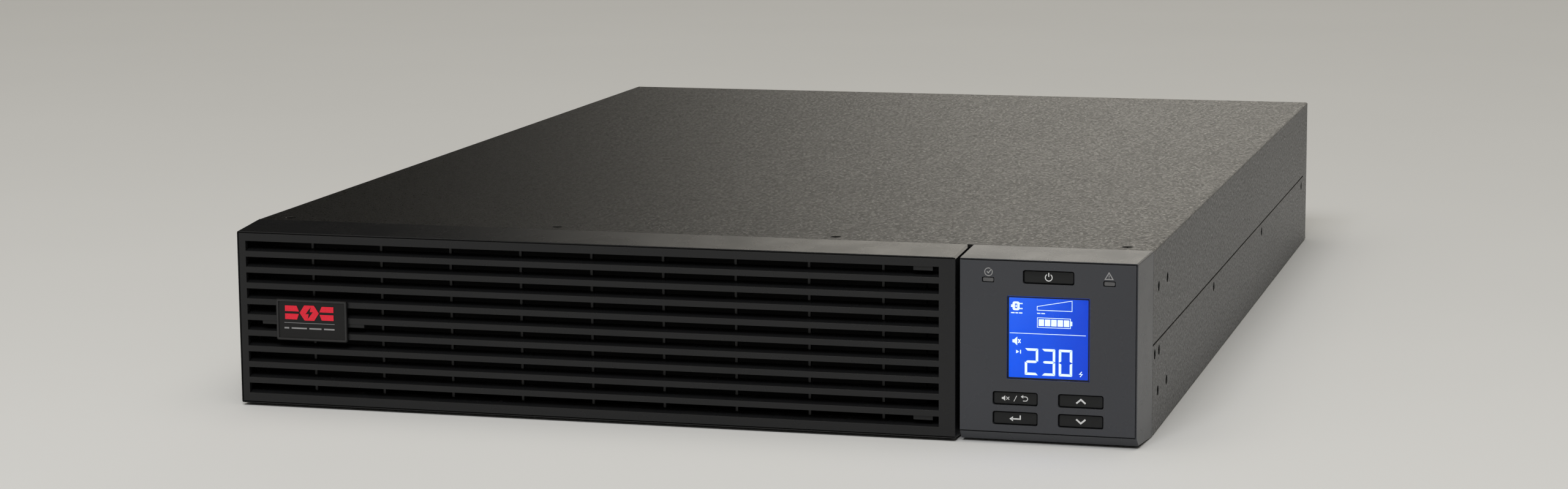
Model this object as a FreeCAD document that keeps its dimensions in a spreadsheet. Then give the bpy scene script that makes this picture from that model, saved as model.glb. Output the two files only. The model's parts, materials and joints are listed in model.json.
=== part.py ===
"""Uninterruptible power supply, two rack units high, that lies in a rack or stands as a tower.

Frame: +X to the right and -Y to the front as the front panel is read, +Z up.  The origin is at the
middle of the footprint, on the surface that the base tray rests on.  All lengths are millimetres.
"""
import FreeCAD, Part
import math
import os

import Sketcher
from FreeCAD import Rotation, Vector

doc = FreeCAD.newDocument("rack_tower_ups")
sheet = doc.addObject("Spreadsheet::Sheet", "Sizes")
driving_names = []
subparts = []


# ---------------------------------------------------------------- lengths tied to the sheet
class Size:
    """A length, together with the sheet expression that gives it."""

    def __init__(self, value, text):
        self.value = float(value)
        self.text = text

    def __add__(self, other):
        return Size(self.value + number(other), f"({self.text} + {text_of(other)})")

    def __radd__(self, other):
        return Size(number(other) + self.value, f"({text_of(other)} + {self.text})")

    def __sub__(self, other):
        return Size(self.value - number(other), f"({self.text} - {text_of(other)})")

    def __rsub__(self, other):
        return Size(number(other) - self.value, f"({text_of(other)} - {self.text})")

    def __mul__(self, other):
        return Size(self.value * number(other), f"({self.text} * {text_of(other)})")

    __rmul__ = __mul__

    def __truediv__(self, other):
        return Size(self.value / number(other), f"({self.text} / {text_of(other)})")

    def __neg__(self):
        return Size(-self.value, f"(0 - {self.text})")


def number(length):
    return length.value if isinstance(length, Size) else float(length)


def text_of(length):
    return length.text if isinstance(length, Size) else f"({float(length):.6f})"


def driving(name, value, meaning):
    """Write one driving dimension into the sheet and return it as a Size."""
    driving_names.append(name)
    row = len(driving_names)
    sheet.set(f"A{row}", name)
    sheet.set(f"B{row}", str(value))
    sheet.set(f"C{row}", meaning)
    sheet.setAlias(f"B{row}", name)
    return Size(value, f"Sizes.{name}")


def bind(thing, prop, length):
    thing.setExpression(prop, text_of(length))


# ---------------------------------------------------------------- driving dimensions
width = driving("width", 438, "outside width of the chassis")
height = driving("height", 86, "outside height, just under two rack units")
chassis_depth = driving("chassis_depth", 600, "sheet-metal chassis, front panel to rear panel")
bezel_depth = driving("bezel_depth", 30, "moulded front, chassis to face")
badge_proud = driving("badge_proud", 1.7, "badge face in front of the grille")
rear_proud = driving("rear_proud", 6, "tallest rear fitting behind the rear panel")
metal = driving("metal", 1.2, "sheet-metal thickness")
seam_height = driving("seam_height", 42.3, "middle of the seam between cover and tray")
seam_gap = driving("seam_gap", 0.9, "open seam between cover and tray")
rear_wrap = driving("rear_wrap", 19, "rear panel's side flange")
side_draft = driving("side_draft", 2.1, "how far the bezel's sides close in")
top_draft = driving("top_draft", 1.4, "how far the bezel's top and bottom close in")
plastic = driving("plastic", 2.2, "wall of the mouldings")
face_wall = driving("face_wall", 2.5, "front wall of the mouldings")
module_width = driving("module_width", 82.9, "display module")
module_gap = driving("module_gap", 2.2, "gap between grille and display module")
body_gap = driving("body_gap", 0.3, "clearance between pieces that move apart")
slot_pitch = driving("slot_pitch", 7.65, "grille slot to grille slot")
slot_open = driving("slot_open", 4.85, "open height of one grille slot")
slot_count = driving("slot_count", 10, "grille slots")
louvre_depth = driving("louvre_depth", 8, "louvre, front to back")
louvre_rise = driving("louvre_rise", 1.4, "how far a louvre rises towards its back")
grille_margin = driving("grille_margin", 6.3, "grille frame at the left and below")
grille_end = driving("grille_end", 7.6, "grille frame at the right")
rib_pitch = driving("rib_pitch", 35, "stiffening rib to stiffening rib")
badge_width = driving("badge_width", 36, "badge")
badge_height = driving("badge_height", 19.7, "badge")
badge_x = driving("badge_x", 40, "badge's centre from the left side")
key_width = driving("key_width", 20, "menu key")
key_height = driving("key_height", 5.6, "menu key")
power_width = driving("power_width", 22.7, "power key")
key_spread = driving("key_spread", 29.95, "left keys to right keys")
key_rise = driving("key_rise", 9.1, "lower keys to upper keys")
key_low = driving("key_low", 12, "height of the lower keys")
power_z = driving("power_z", 76.9, "height of the power key")
key_gap = driving("key_gap", 0.35, "clearance round a key")
key_travel = driving("key_travel", 1.2, "key travel")
lamp_spread = driving("lamp_spread", 55.1, "lamp to lamp")
lamp_z = driving("lamp_z", 75.1, "height of the lamps")
window_width = driving("window_width", 37.7, "display window")
window_height = driving("window_height", 38, "display window")
window_z = driving("window_z", 49.1, "height of the display window")
ear_front = driving("ear_front", 28.2, "rack-ear holes, middle, behind the chassis front")
ear_depth = driving("ear_depth", 25.5, "rack-ear holes, front to back")
ear_height = driving("ear_height", 48.5, "rack-ear holes, low to high")
ear_radius = driving("ear_radius", 2.35, "rack-ear hole")
screw_head = driving("screw_head", 2.5, "radius of a countersunk head")
screw_shank = driving("screw_shank", 1.25, "radius of a screw's shank")
fan_size = driving("fan_size", 70, "square fan frame")
fan_depth = driving("fan_depth", 25, "fan frame, front to back")
fan_bore = driving("fan_bore", 33.5, "radius of the air passage")
fan_shaft = driving("fan_shaft", 1.5, "radius of the fan's shaft")
board = driving("board", 1.6, "circuit board thickness")
cell_length = driving("cell_length", 151, "battery block, long side")
cell_tall = driving("cell_tall", 94, "battery block, base to lid")
cell_thick = driving("cell_thick", 65, "battery block, short side")
doc.recompute()

half = width / 2
front = -(bezel_depth + chassis_depth + rear_proud + badge_proud) / 2 + badge_proud
chassis_front = front + bezel_depth
chassis_rear = chassis_front + chassis_depth
seam_low = seam_height - seam_gap / 2
seam_high = seam_height + seam_gap / 2
inner_top = height - metal
module_left = half - module_width
grille_right = module_left - module_gap
module_mid = half - module_width / 2 - side_draft / 2
wall_rear = chassis_rear - metal
bay_left = -half + 9
bay_mouth = bay_left + 318
bay_right = grille_right - 1
bay_rear = chassis_front + 322
face_back = front + face_wall
bezel_back = chassis_front - body_gap
badge_mid = badge_x - half
badge_z = height / 2
badge_shaft = 3
bar_height = slot_pitch - slot_open
window_low = grille_margin
window_top = window_low + (slot_count - 1) * slot_pitch + slot_open
window_left = -half + grille_margin
window_right = grille_right - grille_end
latch_left = window_right - 12
latch_right = window_right - 3
latch_levels = [window_low + slot_open - 1, window_top - 1]
screw_play = 0.05
thread_radius = screw_shank + screw_play
pan_radius = 2.6
pan_shank = 1.3
pan_hole = 1.35
near = 0.01


# ---------------------------------------------------------------- sketches and features
def body_of(label):
    body = doc.addObject("PartDesign::Body", label)
    subparts.append(body)
    return body


def sketch_on(body, plane, offset):
    """Sketch on one of the body's own origin planes, moved along its normal by offset."""
    sketch = body.newObject("Sketcher::SketchObject", "outline")
    origin_plane = next(f for f in body.Origin.OriginFeatures if f.Role == plane + "_Plane")
    sketch.AttachmentSupport = [(origin_plane, "")]
    sketch.MapMode = "FlatFace"
    bind(sketch, "AttachmentOffset.Base.z", offset)
    return sketch


def constrain(sketch, kind, where, length):
    index = sketch.addConstraint(Sketcher.Constraint(kind, *where, number(length)))
    bind(sketch, f"Constraints[{index}]", length)


def draw_polygon(sketch, corners):
    """Closed outline, each corner held at its own place."""
    first = sketch.GeometryCount
    points = [Vector(number(across), number(up), 0) for across, up in corners]
    count = len(points)
    for side in range(count):
        sketch.addGeometry(Part.LineSegment(points[side], points[(side + 1) % count]), False)
    for side in range(count):
        joint = (first + side, 2, first + (side + 1) % count, 1)
        sketch.addConstraint(Sketcher.Constraint("Coincident", *joint))
    for side, (across, up) in enumerate(corners):
        constrain(sketch, "DistanceX", (-1, 1, first + side, 1), across)
        constrain(sketch, "DistanceY", (-1, 1, first + side, 1), up)


def draw_circle(sketch, across, up, radius):
    centre = Vector(number(across), number(up), 0)
    index = sketch.addGeometry(Part.Circle(centre, Vector(0, 0, 1), number(radius)), False)
    constrain(sketch, "DistanceX", (-1, 1, index, 3), across)
    constrain(sketch, "DistanceY", (-1, 1, index, 3), up)
    constrain(sketch, "Radius", (index,), radius)


def rectangle(left, low, right, high):
    return [(left, low), (right, low), (right, high), (left, high)]


def extrude(body, plane, start, end, outlines=(), circles=(), cut=False):
    """Pad or pocket along the plane's axis, from coordinate start to coordinate end.

    The XZ plane faces -Y, so there a pad is drawn at its far end and a pocket at its near end."""
    drawn_at = end if (plane == "XZ") != cut else start
    sketch = sketch_on(body, plane, -drawn_at if plane == "XZ" else drawn_at)
    for outline in outlines:
        draw_polygon(sketch, outline)
    for across, up, radius in circles:
        draw_circle(sketch, across, up, radius)
    feature = body.newObject("PartDesign::Pocket" if cut else "PartDesign::Pad", "feature")
    feature.Profile = sketch
    bind(feature, "Length", end - start)
    sketch.Visibility = False
    return feature


def block(body, low, high, cut=False):
    """Box between two corners, added to the body or cut from it."""
    outline = rectangle(low[0], low[1], high[0], high[1])
    return extrude(body, "XY", low[2], high[2], [outline], cut=cut)


def edges_where(feature, wanted):
    doc.recompute()
    return [f"Edge{index}" for index, edge in enumerate(feature.Shape.Edges, 1) if wanted(edge)]


def runs_along(edge, axis):
    """True for a straight edge that runs along the axis."""
    if edge.Curve.TypeId != "Part::GeomLine":
        return False
    direction = edge.Vertexes[0].Point - edge.Vertexes[-1].Point
    return abs(getattr(direction.normalize(), axis)) > 0.999


def round_edges(body, feature, radius, wanted):
    fillet = body.newObject("PartDesign::Fillet", "rounded")
    fillet.Base = (feature, edges_where(feature, wanted))
    bind(fillet, "Radius", radius)
    return fillet


# ---------------------------------------------------------------- primitives and booleans
def put(solid, place):
    for axis, length in zip("xyz", place):
        bind(solid, f"Placement.Base.{axis}", length)
    return solid


def box(low, high):
    solid = doc.addObject("Part::Box", "box")
    for prop, start, end in zip(("Length", "Width", "Height"), low, high):
        bind(solid, prop, end - start)
    return put(solid, low)


TURNS = {
    "X": Rotation(Vector(0, 1, 0), 90),
    "Y": Rotation(Vector(1, 0, 0), -90),
    "Z": Rotation(),
}


def rod(axis, place, radius, length):
    """Cylinder that runs from place along +axis."""
    solid = doc.addObject("Part::Cylinder", "rod")
    solid.Placement.Rotation = TURNS[axis]
    bind(solid, "Radius", radius)
    bind(solid, "Height", length)
    return put(solid, place)


def ring(place, ring_radius, wire_radius):
    """Wire ring round the Y axis."""
    solid = doc.addObject("Part::Torus", "ring")
    solid.Placement.Rotation = TURNS["Y"]
    bind(solid, "Radius1", ring_radius)
    bind(solid, "Radius2", wire_radius)
    return put(solid, place)


def fuse(solids, label="joined"):
    joined = doc.addObject("Part::MultiFuse", label)
    joined.Shapes = solids
    joined.Refine = True
    return joined


def cut(base, tools, label="trimmed"):
    trimmed = doc.addObject("Part::Cut", label)
    trimmed.Base = base
    trimmed.Tool = tools[0] if len(tools) == 1 else fuse(tools)
    trimmed.Refine = True
    return trimmed


def group(solids, label):
    together = doc.addObject("Part::Compound", label)
    together.Links = solids
    return together


def keep(solid, label):
    """Make a finished object a sub-part under its own name."""
    solid.Label = label
    subparts.append(solid)
    return solid


def wedge(back, back_low, back_high, front_y, front_low, front_high):
    """Solid that tapers along Y from a front rectangle to a back rectangle, both in X and Z."""
    solid = doc.addObject("Part::Wedge", "taper")
    bind(solid, "Ymin", front_y)
    bind(solid, "Ymax", back)
    for prop, length in zip(("Xmin", "Zmin", "Xmax", "Zmax"), (*front_low, *front_high)):
        bind(solid, prop, length)
    for prop, length in zip(("X2min", "Z2min", "X2max", "Z2max"), (*back_low, *back_high)):
        bind(solid, prop, length)
    return solid


def prism_along_x(left, right, outline):
    """Solid with a polygon outline in Y and Z, running along X."""
    solid = doc.addObject("Part::Feature", "prism")
    points = [Vector(number(left), number(y), number(z)) for y, z in outline]
    face = Part.Face(Part.makePolygon(points + points[:1]))
    solid.Shape = face.extrude(Vector(number(right - left), 0, 0))
    return solid


HEAD_SHARE = 0.55  # thickness of a pan head as a share of its radius
SEAT_SLOPE = 0.84  # depth of a countersink for each millimetre that its radius shrinks
RECESS_DEEP = 0.3  # the cross recess, as shares of the head's radius
RECESS_LONG = 0.62
RECESS_WIDE = 0.14


def screw(axis, sense, place, head_radius, shank_radius, shank_length, countersunk=True):
    """Screw whose head faces along sense times axis, with a cross recess, head face at place."""
    head = doc.addObject("Part::Cone" if countersunk else "Part::Cylinder", "head")
    facing = Vector(*[sense if name == axis else 0 for name in "XYZ"])
    head.Placement.Rotation = Rotation(Vector(0, 0, 1), -facing)
    if countersunk:
        bind(head, "Radius1", head_radius)
        bind(head, "Radius2", shank_radius)
        thickness = (head_radius - shank_radius) * SEAT_SLOPE
    else:
        bind(head, "Radius", head_radius)
        thickness = head_radius * HEAD_SHARE
    bind(head, "Height", thickness)
    put(head, place)
    shank = doc.addObject("Part::Cylinder", "shank")
    shank.Placement.Rotation = head.Placement.Rotation
    bind(shank, "Radius", shank_radius)
    bind(shank, "Height", shank_length)
    put(shank, place)
    slots = []
    arms = [name for name in "XYZ" if name != axis]
    for arm in arms:
        reach = {name: head_radius * (RECESS_LONG if name == arm else RECESS_WIDE) for name in arms}
        reach[axis] = head_radius * RECESS_DEEP
        low = [centre - reach[name] for name, centre in zip("XYZ", place)]
        high = [centre + reach[name] for name, centre in zip("XYZ", place)]
        slots.append(box(low, high))
    return cut(fuse([head, shank]), slots)


# ---------------------------------------------------------------- chassis
SEAM_SCREWS = [17.8, 194.3, 383.2, 572.2]
seam_screw_z = seam_height - 5
cover_screw_y = chassis_front + 8
COVER_SCREWS = [-205.5, -68.6, 68.6, 205.5]
DOOR_SCREWS = [(x, z) for x in (bay_left - 3, bay_mouth + 3) for z in (16, 70)]
latch_hole_y = chassis_front + 5.6
ear_holes = [
    (chassis_front + ear_front + side * ear_depth / 2, height / 2 + level * ear_height / 2)
    for side in (-1, 1)
    for level in (-1, 1)
]


def countersink(body, axis, sense, place):
    """Conical seat for a countersunk head, its wide end at place and facing sense times axis."""
    cone = body.newObject("PartDesign::SubtractiveCone", "countersink")
    facing = Vector(*[sense if name == axis else 0 for name in "XYZ"])
    cone.Placement.Rotation = Rotation(Vector(0, 0, 1), -facing)
    bind(cone, "Radius1", screw_head + screw_play)
    bind(cone, "Radius2", thread_radius)
    bind(cone, "Height", (screw_head - screw_shank) * SEAT_SLOPE)
    put(cone, place)
    return cone


def make_base_tray():
    tray = body_of("base_tray")
    block(tray, (-half, chassis_front, 0.0), (half, chassis_rear, seam_low))
    hollow_low = (-half + metal, chassis_front, metal)
    hollow = block(tray, hollow_low, (half - metal, chassis_rear, seam_low), cut=True)

    def is_lower_bend(edge):
        return runs_along(edge, "y") and edge.BoundBox.ZMax < near

    round_edges(tray, hollow, metal, is_lower_bend)
    for side in (-1, 1):
        left = half - metal if side > 0 else -half
        low = (left, chassis_rear - rear_wrap, metal)
        block(tray, low, (left + metal, chassis_rear, seam_low), cut=True)
    low_ears = [(y, z, ear_radius) for y, z in ear_holes if number(z) < number(seam_low)]
    latch_hole = (latch_hole_y, seam_screw_z, ear_radius)
    shanks = [(chassis_front + y, seam_screw_z, thread_radius) for y in SEAM_SCREWS]
    extrude(tray, "YZ", -half, half, circles=low_ears + [latch_hole] + shanks, cut=True)
    for y in SEAM_SCREWS:
        for side in (-1, 1):
            place = (side * half, chassis_front + y, seam_screw_z)
            countersink(tray, "X", side, place)


def make_top_cover():
    cover = body_of("top_cover")
    block(cover, (-half, chassis_front, seam_high), (half, chassis_rear, height))
    hollow_low = (-half + metal, chassis_front, seam_high)
    hollow = block(cover, hollow_low, (half - metal, chassis_rear, inner_top), cut=True)

    def is_upper_bend(edge):
        return runs_along(edge, "y") and edge.BoundBox.ZMin > number(height) - near

    round_edges(cover, hollow, metal, is_upper_bend)
    slip = 0.05
    tongue_low = seam_low - 9
    tongue_front = chassis_front + 2
    tongue_rear = chassis_rear - rear_wrap - 2
    joggle_high = seam_high + 4
    for side in (-1, 1):
        left = half - metal if side > 0 else -half
        low = (left, chassis_rear - rear_wrap, seam_high)
        block(cover, low, (left + metal, chassis_rear, inner_top), cut=True)
        inner = half - 2 * metal - slip
        joggle_left = inner if side > 0 else -half + metal
        joggle_right = half - metal if side > 0 else -inner
        joggle = (joggle_left, tongue_front, seam_high)
        block(cover, joggle, (joggle_right, tongue_rear, joggle_high))
        tongue_left = inner if side > 0 else -inner - metal
        tongue = (tongue_left, tongue_front, tongue_low)
        block(cover, tongue, (tongue_left + metal, tongue_rear, seam_high + 1))
    high_ears = [(y, z, ear_radius) for y, z in ear_holes if number(z) > number(seam_high)]
    threads = [(chassis_front + y, seam_screw_z, thread_radius) for y in SEAM_SCREWS]
    extrude(cover, "YZ", -half, half, circles=high_ears + threads, cut=True)
    shanks = [(x, cover_screw_y, thread_radius) for x in COVER_SCREWS]
    extrude(cover, "XY", inner_top, height, circles=shanks, cut=True)
    for x in COVER_SCREWS:
        countersink(cover, "Z", 1, (x, cover_screw_y, height))


# Rear fittings, by the X and Z of their centres.
FANS = {"left": -96, "right": -172}
fan_z = height / 2
OUTLETS = [(x, z) for x in (82, 118, 154) for z in (25, 61)]
LARGE_OUTLET = (194, 62)
INLET = (194, 24)
outlet_cut = (30.2, 22.2)
large_cut = (35.4, 26.4)
CARD = (2, 60)
card_cut = (98, 28)
card_screw = 54
USB = (-40, 23)
usb_cut = (12.4, 11.4)
SERIAL = (-12, 23)
serial_cut = (19, 10.6)
jack_screw = 12.5
EPO = (17, 23)
epo_cut = (12.4, 9.4)
BREAKER = (44, 23)
breaker_hole = 6.2
EARTH = (59, 23)
earth_shank = 1.65
fan_screw_reach = fan_size / 2 - 4.5


def around(centre, size, shrink=0.0):
    """Rectangle of the given size about a centre."""
    across = size[0] / 2 - shrink
    up = size[1] / 2 - shrink
    return rectangle(centre[0] - across, centre[1] - up, centre[0] + across, centre[1] + up)


def make_rear_panel():
    panel = body_of("rear_panel")
    block(panel, (-half, wall_rear, metal), (half, chassis_rear, inner_top))
    for side in (-1, 1):
        left = half - metal if side > 0 else -half
        low = (left, chassis_rear - rear_wrap, metal)
        sheet_end = block(panel, low, (left + metal, chassis_rear, inner_top))

    def is_rear_corner(edge):
        outer = abs(abs(edge.BoundBox.XMin) - number(half)) < near
        return runs_along(edge, "z") and outer and edge.BoundBox.YMin > number(chassis_rear) - near

    round_edges(panel, sheet_end, metal, is_rear_corner)
    openings = [around(centre, outlet_cut) for centre in OUTLETS]
    openings += [around(centre, large_cut) for centre in (LARGE_OUTLET, INLET)]
    ports = ((CARD, card_cut), (USB, usb_cut), (SERIAL, serial_cut), (EPO, epo_cut))
    openings += [around(centre, size) for centre, size in ports]
    circles = [(x, fan_z, fan_bore) for x in FANS.values()]
    circles += [(BREAKER[0], BREAKER[1], breaker_hole), (EARTH[0], EARTH[1], earth_shank + screw_play)]
    circles += [(x, z, pan_hole) for x, z in panel_screw_places()]
    # In the XZ sketch the sheet is seen from the front, so X keeps its sign.
    extrude(panel, "XZ", wall_rear, chassis_rear, openings, circles, cut=True)


def fan_corners(x):
    """Places of one fan's four screws."""
    return [
        (x + across * fan_screw_reach, fan_z + up * fan_screw_reach)
        for across in (-1, 1)
        for up in (-1, 1)
    ]


def fan_screw_places():
    return [corner for x in FANS.values() for corner in fan_corners(x)]


def panel_screw_places():
    edge = half - 5
    corners = [(side * edge, z) for side in (-1, 1) for z in (6, height - 6)]
    card_ends = [(CARD[0] + side * card_screw, CARD[1]) for side in (-1, 1)]
    jacks = [(SERIAL[0] + side * jack_screw, SERIAL[1]) for side in (-1, 1)]
    return corners + card_ends + jacks + fan_screw_places()


def make_front_panel():
    panel = body_of("front_panel")
    inner = half - metal
    rear = chassis_front + metal
    block(panel, (-inner, chassis_front, metal), (inner, rear, inner_top))
    lip_depth = 14
    lip = (-inner, chassis_front, inner_top - metal)
    block(panel, lip, (inner, chassis_front + lip_depth, inner_top))
    bay_margin = 7
    bay = rectangle(bay_left, bay_margin, bay_mouth, height - bay_margin)
    plug = around((module_mid, height / 2), (44, 38))
    openings = [bay, plug] + [latch_window(z) for z in latch_levels]
    door_threads = [(x, z, pan_hole) for x, z in DOOR_SCREWS]
    extrude(panel, "XZ", chassis_front, rear, openings, door_threads, cut=True)
    threads = [(x, cover_screw_y, thread_radius) for x in COVER_SCREWS]
    extrude(panel, "XY", inner_top - metal, inner_top, circles=threads, cut=True)


def make_bay_wall():
    """Bent sheet that parts the battery bay from the electronics on its right and behind it."""
    top = height - 6
    foot_reach = 12
    start = chassis_front + metal + body_gap
    left = -half + 2 * metal + 1.5
    side = box((bay_right, start, metal), (bay_right + metal, bay_rear, top))
    across = box((left, bay_rear, metal), (bay_right + metal, bay_rear + metal, top))
    foot = box((bay_right + metal, start, metal), (bay_right + foot_reach, bay_rear, 2 * metal))
    rear_foot = box((left, bay_rear + metal, metal), (bay_right, bay_rear + foot_reach, 2 * metal))
    keep(fuse([side, across, foot, rear_foot]), "battery_bay_wall")


def make_chassis_screws():
    """The cover's own screws at the front edge and the seam screws down both sides."""
    sunk = 0.2
    head = screw_head - 0.25
    long = 5 * metal
    top = [
        screw("Z", 1, (x, cover_screw_y, height - sunk), head, screw_shank, long) for x in COVER_SCREWS
    ]
    keep(group(top, "screws"), "cover_screws")
    seam = []
    for side in (-1, 1):
        for y in SEAM_SCREWS:
            place = (side * (half - sunk), chassis_front + y, seam_screw_z)
            seam.append(screw("X", side, place, head, screw_shank, long))
    keep(group(seam, "screws"), "side_screws")
    rear = [
        screw("Y", 1, (x, chassis_rear + pan_proud(x, z), z), pan_radius, pan_shank, 7 * metal, False)
        for x, z in panel_screw_places()
        if abs(number(z) - SERIAL[1]) > near
    ]
    keep(group(rear, "screws"), "rear_screws")


def pan_proud(x, z):
    """How far a pan head's face stands off the rear panel: more where it holds a second plate."""
    holds_guard = any(number(x) == number(a) and number(z) == number(b) for a, b in fan_screw_places())
    holds_card = abs(number(z) - CARD[1]) < near
    return pan_radius * HEAD_SHARE + (metal if holds_guard or holds_card else 0)


# ---------------------------------------------------------------- rear fittings
flange_face = chassis_rear + 1.8
core_face = flange_face - 0.4
cavity_floor = flange_face - 17
contact_floor = cavity_floor + 1.5
socket_back = chassis_rear - 26


def socket_outline(centre, size, corner):
    """Connector outline whose two upper corners are cut off."""
    left = centre[0] - size[0] / 2
    right = centre[0] + size[0] / 2
    low = centre[1] - size[1] / 2
    high = centre[1] + size[1] / 2
    cut_corner = [(right, high - corner), (right - corner, high), (left + corner, high)]
    return [(left, low), (right, low)] + cut_corner + [(left, high - corner)]


def make_socket(label, centres, barrel, core, corner, slots):
    """Row of sockets: barrel and flange, a cavity round a slotted core, or open for an inlet."""
    body = body_of(label)
    body.AllowCompound = True
    wall = 1.1
    overlap = 2.1
    rim_corner = 1.5
    cavity = (barrel[0] - 2 * wall, barrel[1] - 2 * wall)
    rim = (barrel[0] + 2 * overlap, barrel[1] + 2 * overlap)
    barrels = [socket_outline(centre, barrel, corner) for centre in centres]
    extrude(body, "XZ", socket_back, flange_face, barrels)
    rims = [socket_outline(centre, rim, rim_corner) for centre in centres]
    extrude(body, "XZ", chassis_rear, flange_face, rims)
    cavities = [socket_outline(centre, cavity, corner) for centre in centres]
    extrude(body, "XZ", cavity_floor, flange_face, cavities, cut=True)
    if not core:
        return
    cores = [socket_outline(centre, core, corner) for centre in centres]
    extrude(body, "XZ", cavity_floor, core_face, cores)
    contacts = [around((x + dx, z + dz), size) for x, z in centres for dx, dz, size in slots]
    extrude(body, "XZ", contact_floor, core_face, contacts, cut=True)


# Contact slots by X and Z from a socket's centre, with each slot's size.
SMALL_SLOTS = [(-7, -2, (2.4, 5)), (7, -2, (2.4, 5)), (0, 2.4, (2.4, 5))]
LARGE_SLOTS = [(-6.5, -4, (8.6, 2.6)), (6.5, -4, (8.6, 2.6)), (0, 4, (8.6, 2.6))]
pin_size = (8, 2)


def make_sockets():
    make_socket("outlet_sockets", OUTLETS, (30, 22), (23.4, 15.4), 4, SMALL_SLOTS)
    make_socket("outlet_socket_large", [LARGE_OUTLET], (35.2, 26.2), (28.4, 19.4), 2.5, LARGE_SLOTS)
    make_socket("inlet_socket", [INLET], (35.2, 26.2), None, 2.5, [])
    pins = []
    for dx, dz, _ in LARGE_SLOTS:
        left = INLET[0] + dx - pin_size[0] / 2
        low = INLET[1] + dz - pin_size[1] / 2
        far_corner = (left + pin_size[0], flange_face - 3, low + pin_size[1])
        pins.append(box((left, socket_back - 8, low), far_corner))
    keep(group(pins, "pins"), "inlet_pins")
    springs = []
    strip = 0.4
    for centres, slots in ((OUTLETS, SMALL_SLOTS), ([LARGE_OUTLET], LARGE_SLOTS)):
        for x, z in centres:
            for dx, dz, (wide, tall) in slots:
                thin = (strip, tall - 1) if wide < tall else (wide - 1, strip)
                low = (x + dx - thin[0] / 2, contact_floor, z + dz - thin[1] / 2)
                springs.append(box(low, (low[0] + thin[0], flange_face - 5, low[2] + thin[1])))
    keep(group(springs, "contacts"), "outlet_contacts")


def make_inlet_seat():
    """Holes through the inlet's floor for its pins."""
    inlet = next(part for part in subparts if part.Label == "inlet_socket")
    pins = [around((INLET[0] + dx, INLET[1] + dz), pin_size) for dx, dz, _ in LARGE_SLOTS]
    extrude(inlet, "XZ", socket_back, cavity_floor, pins, cut=True)


FAN_BLADES = 7
strut_depth = 3
fan_clear = 0.6


def make_fan_housing(side, x):
    housing = body_of(f"fan_housing_{side}")
    fan_front = wall_rear - fan_depth
    tube_front = wall_rear - 20
    corner = 4
    frame = extrude(housing, "XZ", fan_front, wall_rear, [around((x, fan_z), (fan_size, fan_size))])
    round_edges(housing, frame, corner, lambda edge: runs_along(edge, "y"))
    bore = [(x, fan_z, fan_bore)]
    bore += [(across, up, pan_hole) for across, up in fan_corners(x)]
    extrude(housing, "XZ", fan_front, wall_rear, circles=bore, cut=True)
    hub = 15
    extrude(housing, "XZ", wall_rear - strut_depth, wall_rear, circles=[(x, fan_z, hub)])
    arm = 2
    long = fan_bore + 0.8
    for wide, tall in ((long, arm), (arm, long)):
        strut = rectangle(x - wide, fan_z - tall, x + wide, fan_z + tall)
        extrude(housing, "XZ", wall_rear - strut_depth, wall_rear - 0.5, [strut])
    tube = [(x, fan_z, 3.4)]
    extrude(housing, "XZ", tube_front, wall_rear - 1, circles=tube)
    shaft = [(x, fan_z, fan_shaft + screw_play)]
    extrude(housing, "XZ", tube_front, wall_rear - 1.5, circles=shaft, cut=True)


def blade_section(radius, pitch_degrees, chord, thickness):
    """Blade section at a radius: a thin lozenge that leans from the fan's axis by its pitch."""
    lean = math.radians(pitch_degrees)
    along = Vector(math.sin(lean), math.cos(lean), 0)
    across = Vector(math.cos(lean), -math.sin(lean), 0) * (thickness / 2)
    middle = Vector(0, 0, radius)
    corners = [along * (chord / 2), across, along * (-chord / 2), across * -1]
    return Part.makePolygon([middle + corner for corner in corners + corners[:1]])


def make_fan_rotor(side, x):
    """Cup, shaft and twisted blades, turned as one piece about the fan's axis."""
    back = strut_depth + fan_clear
    deep = 19.5
    cup_radius = 15.5
    cup_wall = 1.5
    axis = Vector(0, 1, 0)
    cup = Part.makeCylinder(cup_radius, deep, Vector(0, -back - deep, 0), axis)
    inside = Part.makeCylinder(cup_radius - cup_wall, deep, Vector(0, cup_wall - back - deep, 0), axis)
    shaft = Part.makeCylinder(number(fan_shaft), deep, Vector(0, -back - deep, 0), axis)
    tip = number(fan_bore) - 0.9
    sections = [blade_section(cup_radius - 0.5, 52, 20, 2.2), blade_section(tip + 1, 62, 24, 1.6)]
    blade = Part.makeLoft(sections, True, True)
    blade.translate(Vector(0, -back - deep / 2, 0))
    envelope = Part.makeCylinder(tip, deep - 1, Vector(0, 0.5 - back - deep, 0), axis)
    blade = blade.common(envelope)
    blades = []
    for index in range(FAN_BLADES):
        turned = blade.copy()
        turned.rotate(Vector(0, 0, 0), axis, 360 * index / FAN_BLADES)
        blades.append(turned)
    rotor = doc.addObject("Part::Feature", "rotor")
    rotor.Shape = cup.cut(inside).multiFuse([shaft] + blades).removeSplitter()
    put(rotor, (x, wall_rear, fan_z))
    keep(rotor, f"fan_rotor_{side}")


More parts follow.
